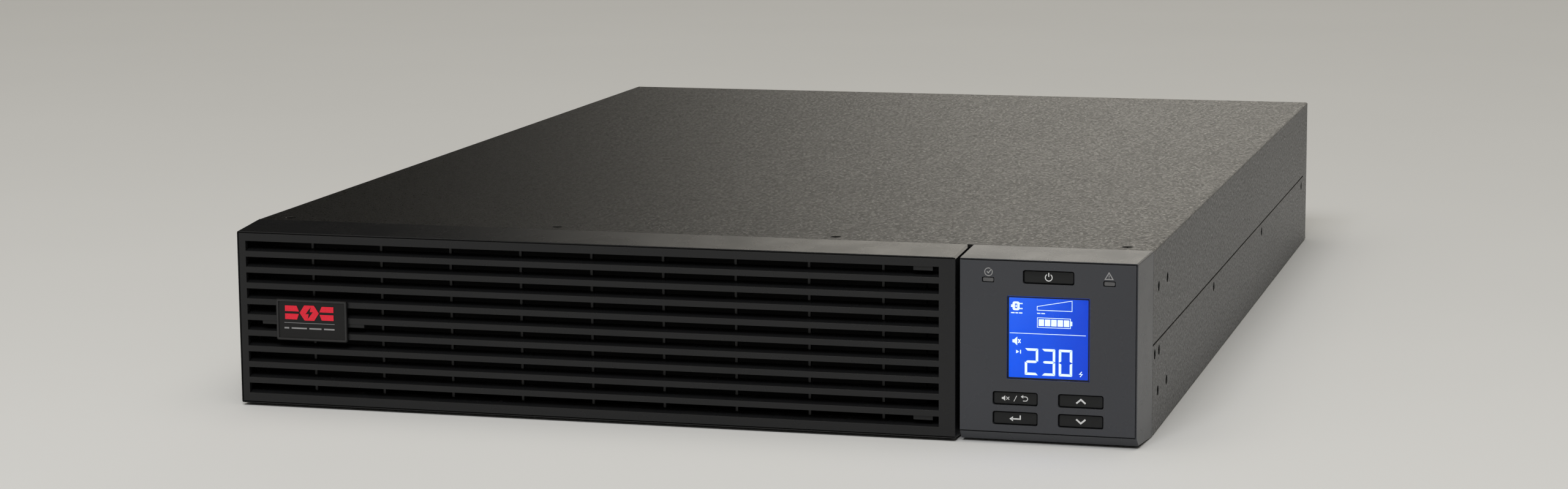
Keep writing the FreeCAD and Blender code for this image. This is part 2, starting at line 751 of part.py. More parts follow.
def make_fan_guards():
    """Wire finger guards: rings, four radial wires and an eyelet under each fan screw."""
    wire = 0.8
    rings = (9, 17, 25, 33)
    eyelet = 3.4
    spoke_lift = 0.15
    diagonal = math.sqrt(0.5)
    spoke_long = fan_screw_reach / diagonal - eyelet + 0.4 - rings[0]
    ring_y = chassis_rear + metal + wire
    spoke_y = chassis_rear + metal + spoke_lift
    guards = []
    for x in FANS.values():
        pieces = [ring((x, ring_y, fan_z), radius, wire) for radius in rings]
        for across, up, turn in ((1, 1, 45), (1, -1, 135), (-1, -1, 225), (-1, 1, 315)):
            start = rings[0] * diagonal
            spoke = rod("Z", (x + across * start, spoke_y, fan_z + up * start), wire, spoke_long)
            spoke.Placement.Rotation = Rotation(Vector(0, 1, 0), turn)
            pieces.append(spoke)
        pieces += [rod("Y", (a, chassis_rear, b), eyelet, metal) for a, b in fan_corners(x)]
        holes = [rod("Y", (a, chassis_rear - 1, b), pan_hole, 5) for a, b in fan_corners(x)]
        guards.append(cut(fuse(pieces), holes))
    keep(group(guards, "guards"), "fan_guards")


def make_breaker():
    """Circuit breaker on the rear panel: a body with its nut, and the button that pops out."""
    x, z = BREAKER
    bore = 4.3
    nut = rod("Y", (x, chassis_rear, z), 8.4, 2.4)
    neck = rod("Y", (x, wall_rear - 1, z), breaker_hole - 0.1, 4.4)
    case = box((x - 8, wall_rear - 30, z - 9), (x + 8, wall_rear, z + 9))
    well = rod("Y", (x, wall_rear - 12, z), bore, 18)
    keep(cut(fuse([nut, neck, case]), [well]), "breaker_body")
    stem = rod("Y", (x, wall_rear - 9, z), bore - body_gap, rear_proud + metal + 9)
    doc.recompute()
    bevel = 0.6
    rims = round_rims(stem, number(chassis_rear + rear_proud))
    button = doc.addObject("Part::Chamfer", "button")
    button.Base = stem
    button.Edges = [(index, bevel, bevel) for index in rims]
    keep(button, "breaker_button")


def plate_on_panel(centre, size, front_y, rear_y):
    """Box about a centre in X and Z, between two Y values."""
    (left, low), _, (right, high), _ = around(centre, size)
    return box((left, front_y, low), (right, rear_y, high))


def make_card_cover():
    plate = plate_on_panel(CARD, (116, 34), chassis_rear, chassis_rear + metal)
    grip = plate_on_panel((CARD[0], CARD[1] - 5), (28, 2), chassis_rear, chassis_rear + 3)
    ends = [CARD[0] + side * card_screw for side in (-1, 1)]
    holes = [rod("Y", (x, chassis_rear - 1, CARD[1]), pan_hole, 5) for x in ends]
    keep(cut(fuse([plate, grip]), holes), "card_slot_cover")


def make_ports():
    """Square data port, nine-pin data port and the two-wire emergency-off terminal."""
    shell = plate_on_panel(USB, (12, 11), chassis_rear - 16, chassis_rear + 0.6)
    mouth = plate_on_panel(USB, (8.6, 7.8), chassis_rear - 10, chassis_rear + 1)
    tongue = plate_on_panel(USB, (5.6, 3.2), chassis_rear - 11, chassis_rear - 1)
    keep(fuse([cut(shell, [mouth]), tongue]), "usb_port")

    plate = plate_on_panel(SERIAL, (30.8, 12.4), chassis_rear, chassis_rear + 0.8)
    shell = plate_on_panel(SERIAL, (17.2, 9.2), chassis_rear - 12, chassis_rear + 5.6)
    mouth = plate_on_panel(SERIAL, (16, 8), chassis_rear - 1, chassis_rear + 6)
    core = plate_on_panel(SERIAL, (14.8, 6.8), chassis_rear - 2, chassis_rear + 4.6)
    jacks = [SERIAL[0] + side * jack_screw for side in (-1, 1)]
    posts = [rod("Y", (x, chassis_rear - 6, SERIAL[1]), pan_shank, 6.5) for x in jacks]
    nuts = [rod("Y", (x, chassis_rear + 0.5, SERIAL[1]), 2.5, 5) for x in jacks]
    keep(fuse([plate, cut(shell, [mouth]), core] + posts + nuts), "serial_port")

    terminal = plate_on_panel(EPO, (12, 9), chassis_rear - 12, chassis_rear + 4)
    wires = [(EPO[0] + side * 2.6, EPO[1] - 1.1) for side in (-1, 1)]
    holes = [plate_on_panel(wire, (2.6, 3), chassis_rear - 4, chassis_rear + 5) for wire in wires]
    keep(cut(terminal, holes), "epo_terminal")


def make_earth_screw():
    x, z = EARTH
    head = 3.4
    washer = 0.8
    place = (x, chassis_rear + washer + head * HEAD_SHARE, z)
    stud = screw("Y", 1, place, head, earth_shank, 12, False)
    keep(fuse([rod("Y", (x, chassis_rear, z), head + 1, washer), stud]), "earth_screw")


def round_rims(solid, y):
    """Indices of a solid's circular edges that lie in the plane of the given Y."""
    return [
        index
        for index, edge in enumerate(solid.Shape.Edges, 1)
        if abs(edge.BoundBox.YMin - y) < near and abs(edge.BoundBox.YMax - y) < near
    ]


# ---------------------------------------------------------------- battery bay
def make_battery():
    tray_left = bay_left + 1
    tray_right = bay_mouth - 1
    tray_front = chassis_front + 1.5
    tray_rear = bay_rear - 2
    floor = 2 * metal
    overlap = 6
    margin = 3.5
    door_low = (bay_left - overlap, chassis_front - metal, margin)
    plate = box(door_low, (bay_mouth + overlap, chassis_front, height - margin))
    vents = [
        box((x, chassis_front - 5, z), (x + 26, chassis_front + 5, z + 3))
        for x in [bay_left + 20 + 36 * column for column in range(8)]
        for z in [14 + 8 * row for row in range(8)]
    ]
    bores = [rod("Y", (x, chassis_front - 5, z), pan_hole + screw_play, 10) for x, z in DOOR_SCREWS]
    keep(cut(plate, vents + bores), "battery_door")
    head_face = chassis_front - metal - pan_radius * HEAD_SHARE
    door_screws = [
        screw("Y", -1, (x, head_face, z), pan_radius, pan_shank, 4, False)
        for x, z in DOOR_SCREWS
    ]
    keep(group(door_screws, "screws"), "battery_door_screws")

    outer = box((tray_left, tray_front, floor), (tray_right, tray_rear, floor + 24))
    inner = box((tray_left + 1, tray_front + 1, floor + 1), (tray_right - 1, tray_rear - 1, floor + 30))
    grip_slot = box((-70, tray_front - 1, floor + 12), (-30, tray_front + 2, floor + 18))
    keep(cut(outer, [inner, grip_slot]), "battery_tray")

    row_pitch = cell_tall + 10
    first = tray_front + 9
    base = floor + 1
    cells = []
    tabs = []
    links = []
    middle = tray_left + 2.5 + cell_length
    for row in range(3):
        low_y = first + row * row_pitch
        for column in range(2):
            left = middle + (column - 1) * cell_length + column * 1.5
            far_corner = (left + cell_length, low_y + cell_tall, base + cell_thick)
            cells.append(box((left, low_y, base), far_corner))
            for end in (12, cell_length - 12):
                low = (left + end - 3.2, low_y - 6.5, base + cell_thick - 14)
                tabs.append(box(low, (low[0] + 6.4, low_y, low[2] + 0.8)))
        strap_z = base + cell_thick - 13.2
        strap = (middle - 15.2, low_y - 6, strap_z)
        links.append(box(strap, (middle + 16.7, low_y - 0.4, strap_z + 1.2)))
        lead_low = (middle + cell_length - 14, low_y - 5.5, strap_z)
        links.append(box(lead_low, (tray_right - 3, low_y - 1, strap_z + 3)))
    lead_x = tray_right - 6
    lead_end = first + 2 * row_pitch - 1
    links.append(box((lead_x, first - 5.5, strap_z + 3), (lead_x + 3, lead_end, strap_z + 6)))
    keep(group(cells, "cells"), "battery_blocks")
    keep(group(tabs, "tabs"), "battery_terminals")
    keep(group(links, "links"), "battery_links")
    plug = (bay_mouth + 4, chassis_front + metal + 6, 20)
    housing = box(plug, (plug[0] + 16, plug[1] + 26, plug[2] + 32))
    poles = [rod("Y", (plug[0] + 8, plug[1] - 1, plug[2] + z), 4, 16) for z in (9, 23)]
    keep(cut(housing, poles), "battery_connector")


# ---------------------------------------------------------------- electronics
# Parts on the control board: distance behind the chassis front, height, long, wide and tall.
CHIPS = [
    (60, 34, 14, 14, 1.4),
    (100, 20, 18, 10, 2.4),
    (100, 50, 18, 10, 2.4),
    (150, 26, 40, 30, 18),
    (210, 20, 24, 16, 12),
    (210, 48, 24, 16, 12),
    (260, 34, 12, 12, 1.4),
]


def toroid_core(x, y, z):
    return cut(rod("Z", (x, y, z), 27, 20), [rod("Z", (x, y, z - 1), 14, 22)])


def make_electronics():
    deck = 3 * metal + 5
    left = -half + 14
    right = module_mid - 26
    start = bay_rear + 16
    filter_end = socket_back - 13
    end = filter_end - 94
    keep(box((left, start, deck), (right, end, deck + board)), "main_board")
    pillars = [
        rod("Z", (x, y, metal), 3, deck - metal)
        for x in (left + 6, (left + right) / 2, right - 6)
        for y in (start + 6, end - 6)
    ]
    keep(group(pillars, "pillars"), "board_standoffs")

    top = deck + board
    sinks = []
    devices = []
    for index in range(2):
        x = left + 34 + 92 * index
        base = box((x, start + 12, top), (x + 5, end - 12, top + 44))
        fins = [
            box((x + 5, start + 12, top + 2 + 5 * fin), (x + 33, end - 12, top + 3.6 + 5 * fin))
            for fin in range(9)
        ]
        sinks.append(fuse([base] + fins))
        for device in range(4):
            y = start + 18 + 24 * device
            devices.append(box((x - 5, y, top + 8), (x, y + 16, top + 29)))
    keep(group(sinks, "heatsinks"), "heatsinks")
    keep(group(devices, "devices"), "power_transistors")
    can = 15
    cans = [
        rod("Z", (left + 208 + 34 * column, start + 22 + 34 * row, top), can, 46)
        for column in range(2)
        for row in range(3)
    ]
    keep(group(cans, "cans"), "bus_capacitors")

    cores = []
    coils = []
    for index in range(2):
        x = left + 292
        y = start + 32 + 64 * index
        z = top + 5
        cores.append(toroid_core(x, y, z))
        core_room = toroid_core(x, y, z)
        split = box((x - 31, y - 3, z - 5), (x + 31, y + 3, z + 25))
        coat = rod("Z", (x, y, z - 3), 30, 26)
        coils.append(cut(coat, [rod("Z", (x, y, z - 4), 11, 28), core_room, split]))
    keep(group(cores, "cores"), "inductor_cores")
    keep(group(coils, "coils"), "inductor_windings")
    relays = [
        box((left + 6, start + 16 + 34 * row, top), (left + 22, start + 45 + 34 * row, top + 24))
        for row in range(3)
    ]
    keep(group(relays, "relays"), "relays")

    board_x = half - 14
    control = box((board_x, chassis_front + 30, 8), (board_x + board, bay_rear - 10, 74))
    keep(control, "control_board")
    chips = [
        box((board_x - tall, chassis_front + y, z), (board_x, chassis_front + y + long, z + wide))
        for y, z, long, wide, tall in CHIPS
    ]
    keep(group(chips, "chips"), "control_chips")
    keep(box((64, filter_end - 89, deck), (half - 6, filter_end, deck + board)), "filter_board")


# ---------------------------------------------------------------- moulded front
corner_radius = 0.8


def latch_window(z):
    return rectangle(latch_left - 1.5, z - 3, latch_right + 1.5, z + 3)


def outer_shell(left, right, left_draft, right_draft):
    """Tapered solid of one half of the bezel, full size at the chassis and smaller at the face."""
    low = (left + left_draft, top_draft)
    high = (right - right_draft, height - top_draft)
    return wedge(bezel_back, (left, 0.0), (right, height), front, low, high)


def soften(solid, size, wanted, kind="Part::Fillet"):
    doc.recompute()
    softened = doc.addObject(kind, "softened")
    softened.Base = solid
    picked = [index for index, edge in enumerate(solid.Shape.Edges, 1) if wanted(edge)]
    softened.Edges = [(index, size, size) for index in picked]
    return softened


def face_groove(left, right, low, high, open_left):
    """Fine shadow line just inside the edge of the face, on every side but the gap's."""
    rim = 0.35
    line = 0.5
    deep = 1.2
    inside = [left + rim + line, right - rim - line]
    outside = [left + rim, right - rim]
    if open_left:
        inside[0] = outside[0] = left - 1
    else:
        inside[1] = outside[1] = right + 1
    outer = box((outside[0], front - 1, low + rim), (outside[1], front + deep, high - rim))
    inner = box((inside[0], front - 2, low + rim + line), (inside[1], front + deep + 1, high - rim - line))
    return cut(outer, [inner])


def make_grille_cover():
    solid = outer_shell(-half, grille_right, side_draft, 0)

    def is_outer_corner(edge):
        box_of = edge.BoundBox
        return box_of.YLength > 10 and box_of.XMax < 0

    def is_gap_corner(edge):
        box_of = edge.BoundBox
        return box_of.YLength > 10 and box_of.XMin > 0 and box_of.ZMin > 10

    solid = soften(solid, corner_radius, is_outer_corner)
    solid = soften(solid, 0.9, is_gap_corner, "Part::Chamfer")
    hollow_back = (-half + plastic, plastic)
    hollow_high = (grille_right - plastic, height - plastic)
    hollow_front = (-half + side_draft + plastic, top_draft + plastic)
    hollow_top = (grille_right - plastic, height - top_draft - plastic)
    hollow = wedge(bezel_back + 1, hollow_back, hollow_high, face_back, hollow_front, hollow_top)
    window = box((window_left, front - 1, window_low), (window_right, face_back + 1, window_top))
    face_left = -half + side_draft
    groove = face_groove(face_left, grille_right, top_draft, height - top_draft, False)
    shell = cut(solid, [hollow, window, groove])

    louvres = []
    for level in range(int(number(slot_count))):
        low = window_low - bar_height + level * slot_pitch
        back = front + louvre_depth
        outline = [
            (front, low),
            (front, low + bar_height),
            (back, low + bar_height + louvre_rise),
            (back, low + louvre_rise),
        ]
        louvres.append(prism_along_x(window_left - 0.5, window_right + 0.5, outline))
    ribs = []
    rib_front = front + louvre_depth - 1
    rib_thick = 1.2
    first_rib = -half + 37.9 - rib_thick / 2
    for index in range(9):
        left = first_rib + index * rib_pitch
        far_corner = (left + rib_thick, rib_front + 2.5, window_top + 1)
        ribs.append(box((left, rib_front, window_low - 1), far_corner))
    bar_under = window_top - 5 * slot_pitch
    bosses = [
        box((badge_mid + start, front + 0.3, bar_under - 1.6), (badge_mid + end, front + 4, bar_under + 1))
        for start, end in ((-26, -16), (16, 26))
    ]
    hub = rod("Y", (badge_mid, front, badge_z), 7, louvre_depth + 2)
    bore = rod("Y", (badge_mid, front - 1, badge_z), badge_shaft + 0.05, louvre_depth + 4)
    fused = fuse([shell] + louvres + ribs + bosses + [hub])
    keep(cut(fused, [bore]), "grille_cover")

    arms = []
    for z, inward in zip(latch_levels, (1, -1)):
        arm = box((latch_left, front + 1, z - 1), (latch_right, chassis_front + 5, z + 1))
        hook = box((latch_left, chassis_front + 2, z - 1.8), (latch_right, chassis_front + 5, z + 1))
        arms.append(fuse([arm, hook]))
    keep(group(arms, "latches"), "grille_latches")



def make_badge():
    """Nameplate with a raised rim, on a shaft so that it can be turned for a standing unit."""
    back = front - body_gap
    face = front - badge_proud
    wide = badge_width / 2
    tall = badge_height / 2
    rim = 1.1
    plate = box((badge_mid - wide, face, badge_z - tall), (badge_mid + wide, back, badge_z + tall))
    plate = soften(plate, corner_radius, lambda edge: runs_along(edge, "y"))
    inset_low = (badge_mid - wide + rim, face - 1, badge_z - tall + rim)
    inset = box(inset_low, (badge_mid + wide - rim, face + 0.5, badge_z + tall - rim))
    shaft = rod("Y", (badge_mid, back - 0.2, badge_z), badge_shaft, louvre_depth + 3)
    keep(fuse([cut(plate, [inset]), shaft]), "badge_plate")


KEYS = {
    "power_button": (0, power_z, power_width),
    "mute_button": (-key_spread / 2, key_low + key_rise, key_width),
    "enter_button": (-key_spread / 2, key_low, key_width),
    "up_button": (key_spread / 2, key_low + key_rise, key_width),
    "down_button": (key_spread / 2, key_low, key_width),
}
key_sunk = 0.6
key_flange = 1.1
flange_front = face_wall + body_gap
key_stem_end = 6
switch_front = key_stem_end + key_travel + 0.2
board_front = 12
lamp_hole = (5.6, 2.5)
lamp_lens = (4.8, 1.8)


def rounded_box(low, high, radius):
    """Box with its four edges along Y rounded."""
    return soften(box(low, high), radius, lambda edge: runs_along(edge, "y"))


def make_display_module():
    solid = outer_shell(module_left, half, 0, side_draft)

    def is_outer_corner(edge):
        box_of = edge.BoundBox
        return box_of.YLength > 10 and box_of.XMax > number(half) - 5

    solid = soften(solid, corner_radius, is_outer_corner)
    chamfer = 5.3
    low_corner = [(front - 1, chamfer + 1), (front + chamfer + 1, -1), (front - 1, -1)]
    bevel = prism_along_x(module_left - 1, half + 1, low_corner)
    inside = module_left + plastic
    hollow_low = (inside, 2 * plastic)
    hollow_top = (half - side_draft - plastic, height - top_draft - plastic)
    back_top = (half - plastic, height - plastic)
    hollow = wedge(bezel_back + 1, (inside, plastic), back_top, face_back, hollow_low, hollow_top)
    groove = face_groove(module_left, half - side_draft, chamfer - 0.35, height - top_draft, True)
    holes = []
    for x, z, wide in KEYS.values():
        reach = wide / 2 + key_gap
        tall = key_height / 2 + key_gap
        low = (module_mid + x - reach, front - 1, z - tall)
        high = (module_mid + x + reach, face_back + 1, z + tall)
        holes.append(rounded_box(low, high, 1.1))
    wide = window_width / 2
    tall = window_height / 2
    low = (module_mid - wide, front - 1, window_z - tall)
    holes.append(rounded_box(low, (module_mid + wide, face_back + 1, window_z + tall), 0.5))
    for side in (-1, 1):
        x = module_mid + side * lamp_spread / 2
        low = (x - lamp_hole[0] / 2, front - 1, lamp_z - lamp_hole[1] / 2)
        high = (x + lamp_hole[0] / 2, face_back + 1, lamp_z + lamp_hole[1] / 2)
        holes.append(rounded_box(low, high, 0.6))
    keep(cut(solid, [bevel, hollow, groove] + holes), "display_housing")

    back_low = (module_left + plastic, front + 26, 2 * plastic)
    back_high = (half - side_draft - plastic, front + 28, height - top_draft - plastic)
    keep(box(back_low, back_high), "display_back_cover")
    fit = 0.25
    low = (module_mid - wide + fit, front + 0.7, window_z - tall + fit)
    keep(box(low, (module_mid + wide - fit, front + 1.7, window_z + tall - fit)), "lcd_window")
    low = (module_mid - 22, face_back + 0.1, window_z - 23)
    glass = (module_mid - wide + fit, front + 1.8, window_z - tall + fit)
    cell = box(glass, (module_mid + wide - fit, face_back + 1, window_z + tall - fit))
    keep(fuse([box(low, (module_mid + 22, front + 9, window_z + 23)), cell]), "lcd_panel")
    low = (module_left + plastic + 1, front + board_front, 2 * plastic + 1)
    high = (half - side_draft - plastic - 1, front + board_front + board, height - 2 * plastic - 2)
    keep(box(low, high), "display_board")
    switches = []
    for x, z, _ in KEYS.values():
        low = (module_mid + x - 3, front + board_front - 3.4, z - 3)
        base = box(low, (module_mid + x + 3, front + board_front, z + 3))
        plunger = rod("Y", (module_mid + x, front + switch_front, z), 1.7, board_front - switch_front - 3)
        switches.append(fuse([base, plunger]))
    keep(group(switches, "switches"), "key_switches")
    lenses = []
    for side in (-1, 1):
        x = module_mid + side * lamp_spread / 2
        low = (x - lamp_lens[0] / 2, front + 0.5, lamp_z - lamp_lens[1] / 2)
        high = (x + lamp_lens[0] / 2, front + board_front, lamp_z + lamp_lens[1] / 2)
        lenses.append(rounded_box(low, high, 0.5))
    keep(group(lenses, "lenses"), "indicator_lenses")


def make_key(label, x, z, wide):
    """Key cap with a retaining flange behind the front wall and a stem to its switch."""
    centre = module_mid + x
    reach = wide / 2
    tall = key_height / 2
    low = (centre - reach, front + key_sunk, z - tall)
    cap = rounded_box(low, (centre + reach, front + flange_front + 0.5, z + tall), 0.9)
    cap = soften(cap, 0.35, lambda edge: edge.BoundBox.YMax < number(front) + key_sunk + near)
    skirt_low = (centre - reach - key_flange, front + flange_front, z - tall - key_flange)
    skirt_back = front + flange_front + 0.8
    skirt = box(skirt_low, (centre + reach + key_flange, skirt_back, z + tall + key_flange))
    stem = rod("Y", (centre, front + flange_front, z), 2, key_stem_end - flange_front)
    keep(fuse([cap, skirt, stem]), label)


def make_everything():
    make_base_tray()
    make_top_cover()
    make_rear_panel()
    make_front_panel()
    make_bay_wall()
    make_chassis_screws()
    make_sockets()
    make_inlet_seat()
    for side, x in FANS.items():
        make_fan_housing(side, x)
        make_fan_rotor(side, x)
    make_fan_guards()
    make_breaker()
    make_card_cover()
    make_ports()
    make_earth_screw()
    make_battery()
    make_electronics()
    make_grille_cover()
    make_badge()
    make_display_module()
    for label, (x, z, wide) in KEYS.items():
        make_key(label, x, z, wide)


def check_everything():
    """Stop if any object failed, or if a sub-part has no valid solid."""
    for thing in doc.Objects:
        if "Invalid" in thing.State or "Error" in thing.State:
            raise RuntimeError(f"{thing.Name} ({thing.Label}) is in state {thing.State}")
    for part in subparts:
        if part.Shape.isNull() or not part.Shape.isValid() or not part.Shape.Solids:
            raise RuntimeError(f"{part.Label} has no valid solid")


make_everything()
doc.recompute()
check_everything()
os.makedirs("parts", exist_ok=True)
for part in subparts:
    part.Shape.exportStep(f"parts/{part.Label}.step")
print(len(subparts), "sub-parts written")
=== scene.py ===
import json
import math

import bmesh
import bpy
from mathutils import Matrix, Vector


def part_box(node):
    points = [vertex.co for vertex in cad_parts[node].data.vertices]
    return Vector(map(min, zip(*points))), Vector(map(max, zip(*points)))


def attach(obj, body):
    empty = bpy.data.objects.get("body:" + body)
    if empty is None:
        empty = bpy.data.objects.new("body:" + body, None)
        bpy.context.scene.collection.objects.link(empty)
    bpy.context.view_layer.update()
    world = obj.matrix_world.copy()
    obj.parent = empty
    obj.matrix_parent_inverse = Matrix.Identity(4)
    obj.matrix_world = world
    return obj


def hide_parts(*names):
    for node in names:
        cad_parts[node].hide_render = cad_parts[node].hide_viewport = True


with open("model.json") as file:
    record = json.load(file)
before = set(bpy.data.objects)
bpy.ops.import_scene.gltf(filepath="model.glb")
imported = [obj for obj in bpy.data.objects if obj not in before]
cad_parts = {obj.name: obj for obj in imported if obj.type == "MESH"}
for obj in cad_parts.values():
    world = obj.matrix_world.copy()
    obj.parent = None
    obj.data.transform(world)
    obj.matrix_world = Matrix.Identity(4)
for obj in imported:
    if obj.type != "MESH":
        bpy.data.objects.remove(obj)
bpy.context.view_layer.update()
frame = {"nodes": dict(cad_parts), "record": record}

# Looks of a two-unit uninterruptible power supply, built round its CAD model. Lengths are metres in
# the model's frame: +X is the right of the front as it is read, -Y is the front and +Z is up.
MM = 0.001
scene = bpy.context.scene


# ---------------------------------------------------------------- node helpers
class NodeGraph:
    """A node tree being made. Each method that adds a node gives back its output."""

    def __init__(self, tree):
        self.nodes = tree.nodes
        self.links = tree.links

    def feed(self, socket, value):
        """Links a socket to an output, or sets it to a number or a colour."""
        if isinstance(value, bpy.types.NodeSocket):
            self.links.new(value, socket)
        elif isinstance(value, tuple) and socket.type == "RGBA":
            socket.default_value = (*value, 1)
        else:
            socket.default_value = value

    def calculate(self, operation, first, second):
        node = self.nodes.new("ShaderNodeMath")
        node.operation = operation
        self.feed(node.inputs[0], first)
        self.feed(node.inputs[1], second)
        return node.outputs["Value"]

    def plus(self, first, second):
        return self.calculate("ADD", first, second)

    def times(self, first, second):
        return self.calculate("MULTIPLY", first, second)

    def spread(self, value, from_low, from_high, low=0.0, high=1.0, steps="LINEAR"):
        """A value carried from one range to another, and held at its ends."""
        node = self.nodes.new("ShaderNodeMapRange")
        node.interpolation_type = steps
        self.feed(node.inputs["Value"], value)
        node.inputs["From Min"].default_value = from_low
        node.inputs["From Max"].default_value = from_high
        node.inputs["To Min"].default_value = low
        node.inputs["To Max"].default_value = high
        return node.outputs["Result"]

    def axes(self, vector):
        """The X, Y and Z of a vector, found by those names."""
        node = self.nodes.new("ShaderNodeSeparateXYZ")
        self.links.new(vector, node.inputs["Vector"])
        return node.outputs


class Finish(NodeGraph):
    """A material being made."""

    def __init__(self, name):
        self.material = bpy.data.materials.new(name)
        self.material.use_nodes = True
        super().__init__(self.material.node_tree)
        self.shader = self.nodes["Principled BSDF"]
        self.place = self.nodes.new("ShaderNodeTexCoord").outputs["Object"]

    def set(self, **values):
        """Sets or links the shader's own sockets, named with underscores for spaces."""
        for name, value in values.items():
            self.feed(self.shader.inputs[name.replace("_", " ")], value)

    def stretched(self, x, y, z):
        """Object coordinates scaled by a different factor along each axis."""
        node = self.nodes.new("ShaderNodeMapping")
        node.inputs["Scale"].default_value = (x, y, z)
        self.links.new(self.place, node.inputs["Vector"])
        return node.outputs["Vector"]

    def noise(self, grain, detail=2.0, vector=None):
        """Noise whose features are about one grain wide, in metres."""
        node = self.nodes.new("ShaderNodeTexNoise")
        node.inputs["Scale"].default_value = 1 / grain
        node.inputs["Detail"].default_value = detail
        self.links.new(vector or self.place, node.inputs["Vector"])
        return node.outputs["Fac"]

    def cells(self, grain):
        """Brightness of irregular cells about one grain wide, each cell with one value."""
        node = self.nodes.new("ShaderNodeTexVoronoi")
        node.inputs["Scale"].default_value = 1 / grain
        self.links.new(self.place, node.inputs["Vector"])
        split = self.nodes.new("ShaderNodeSeparateColor")
        self.links.new(node.outputs["Color"], split.inputs["Color"])
        return split.outputs["Red"]

    def mix(self, share, first, second):
        """Colour mixed from two colours."""
        node = self.nodes.new("ShaderNodeMix")
        node.data_type = "RGBA"
        self.feed(node.inputs["Factor"], share)
        self.feed(node.inputs["A"], first)
        self.feed(node.inputs["B"], second)
        return node.outputs["Result"]

    def rounded(self, radius):
        """Normal that runs round each edge as if it had this radius."""
        node = self.nodes.new("ShaderNodeBevel")
        node.samples = 4
        node.inputs["Radius"].default_value = radius
        return node.outputs["Normal"]

    def edges(self, normal):
        """1 on the edges that the rounded normal turns round, 0 on flat faces."""
        node = self.nodes.new("ShaderNodeVectorMath")
        node.operation = "DOT_PRODUCT"
        self.links.new(normal, node.inputs[0])
        self.links.new(self.nodes.new("ShaderNodeNewGeometry").outputs["Normal"], node.inputs[1])
        flat = 0.99
        turned = 0.8
        return self.spread(node.outputs["Value"], flat, turned)

    def bump(self, height, depth, normal=None):
        """Normal disturbed by a height of 0 to 1 that is this deep in metres."""
        node = self.nodes.new("ShaderNodeBump")
        node.inputs["Distance"].default_value = depth
        self.links.new(height, node.inputs["Height"])
        if normal:
            self.links.new(normal, node.inputs["Normal"])
        return node.outputs["Normal"]


def tint(colour, factor):
    """Colour made lighter or darker, with no part over 1."""
    return tuple(min(1.0, part * factor) for part in colour)


# ---------------------------------------------------------------- finishes
def powder_coat(name, colour, roughness):
    """Baked textured paint: a coarse and a fine grain, faint handling marks and rubbed edges."""
    finish = Finish(name)
    grain = 1.5 * MM
    fine_grain = 0.45 * grain
    fine_share = 0.45
    relief = 0.07 * MM
    edge = 0.5 * MM
    peel = 0.12
    normal = finish.rounded(edge)
    fine = finish.spread(finish.noise(fine_grain, 3.0), 0.35, 0.65)
    coarse = finish.spread(finish.noise(grain, 3.0), 0.38, 0.62)
    flecks = finish.plus(finish.times(fine, fine_share), finish.times(coarse, 1 - fine_share))
    patches = finish.spread(finish.noise(90 * MM, 3.0), 0.3, 0.7)
    base = finish.mix(flecks, tint(colour, 0.65), tint(colour, 1.35))
    base = finish.mix(finish.times(patches, 0.12), base, tint(colour, 0.8))
    edge_breakup = finish.spread(finish.noise(9 * MM), 0.4, 0.7, 0.15, 0.8)
    lighter_edges = finish.times(finish.edges(normal), edge_breakup)
    peeled = finish.spread(flecks, 0.1, 0.9, roughness + peel, roughness - peel)
    finish.set(
        Base_Color=finish.mix(lighter_edges, base, tint(colour, 2.2)),
        Roughness=finish.plus(peeled, finish.times(patches, 0.012)),
        Specular_IOR_Level=0.35,
        Normal=finish.bump(flecks, relief, normal),
    )
    return finish


def moulded(name, colour, roughness, gloss=0.5, grain=0.35 * MM, edge=0.25 * MM, wear_and_highlight=1.35):
    """Moulded plastic with a spark-eroded texture, faint flow marks and lighter edges: polishing wear
    at a small factor, a painted highlight at a large one.
    """
    finish = Finish(name)
    relief = 0.01 * MM
    unevenness = 0.02
    normal = finish.rounded(edge)
    flow = finish.spread(finish.noise(60 * MM, 2.0), 0.3, 0.7)
    flecks = finish.spread(finish.noise(grain, 2.0), 0.35, 0.65)
    base = finish.mix(flow, tint(colour, 0.95), tint(colour, 1.05))
    base = finish.mix(finish.times(flecks, 0.3), base, tint(colour, 1.25))
    edge_breakup = finish.spread(finish.noise(5 * MM), 0.35, 0.7, 0.2, 0.9)
    # The edges are lightened by the factor given: a little for polishing wear on most parts, much more
    # on the badge, where it is a painted highlight.
    lighter_edges = finish.times(finish.edges(normal), edge_breakup)
    uneven = finish.noise(18 * MM, 4.0)
    finish.set(
        Base_Color=finish.mix(lighter_edges, base, tint(colour, wear_and_highlight)),
        Roughness=finish.spread(uneven, 0.3, 0.7, roughness - unevenness, roughness + unevenness),
        Specular_IOR_Level=gloss,
        Normal=finish.bump(finish.noise(grain, 2.0), relief, normal),
    )
    return finish


def plated(name, colour, roughness):
    """Plated steel: soft crystalline patches, fine rolling lines and a dull bloom."""
    finish = Finish(name)
    spangle = finish.cells(7 * MM)
    lines = finish.noise(2 * MM, 3.0, finish.stretched(0.12, 1.0, 1.0))
    bloom = finish.spread(finish.noise(40 * MM, 3.0), 0.35, 0.7, 0.0, 0.5)
    base = finish.mix(spangle, tint(colour, 0.9), tint(colour, 1.08))
    base = finish.mix(bloom, base, tint(colour, 0.78))
    rolled = finish.spread(lines, 0.3, 0.7, roughness - 0.05, roughness + 0.08)
    finish.set(
        Base_Color=base,
        Metallic=1.0,
        Roughness=finish.plus(rolled, finish.times(bloom, 0.15)),
        Normal=finish.bump(lines, 0.004 * MM, finish.rounded(0.2 * MM)),
    )
    return finish


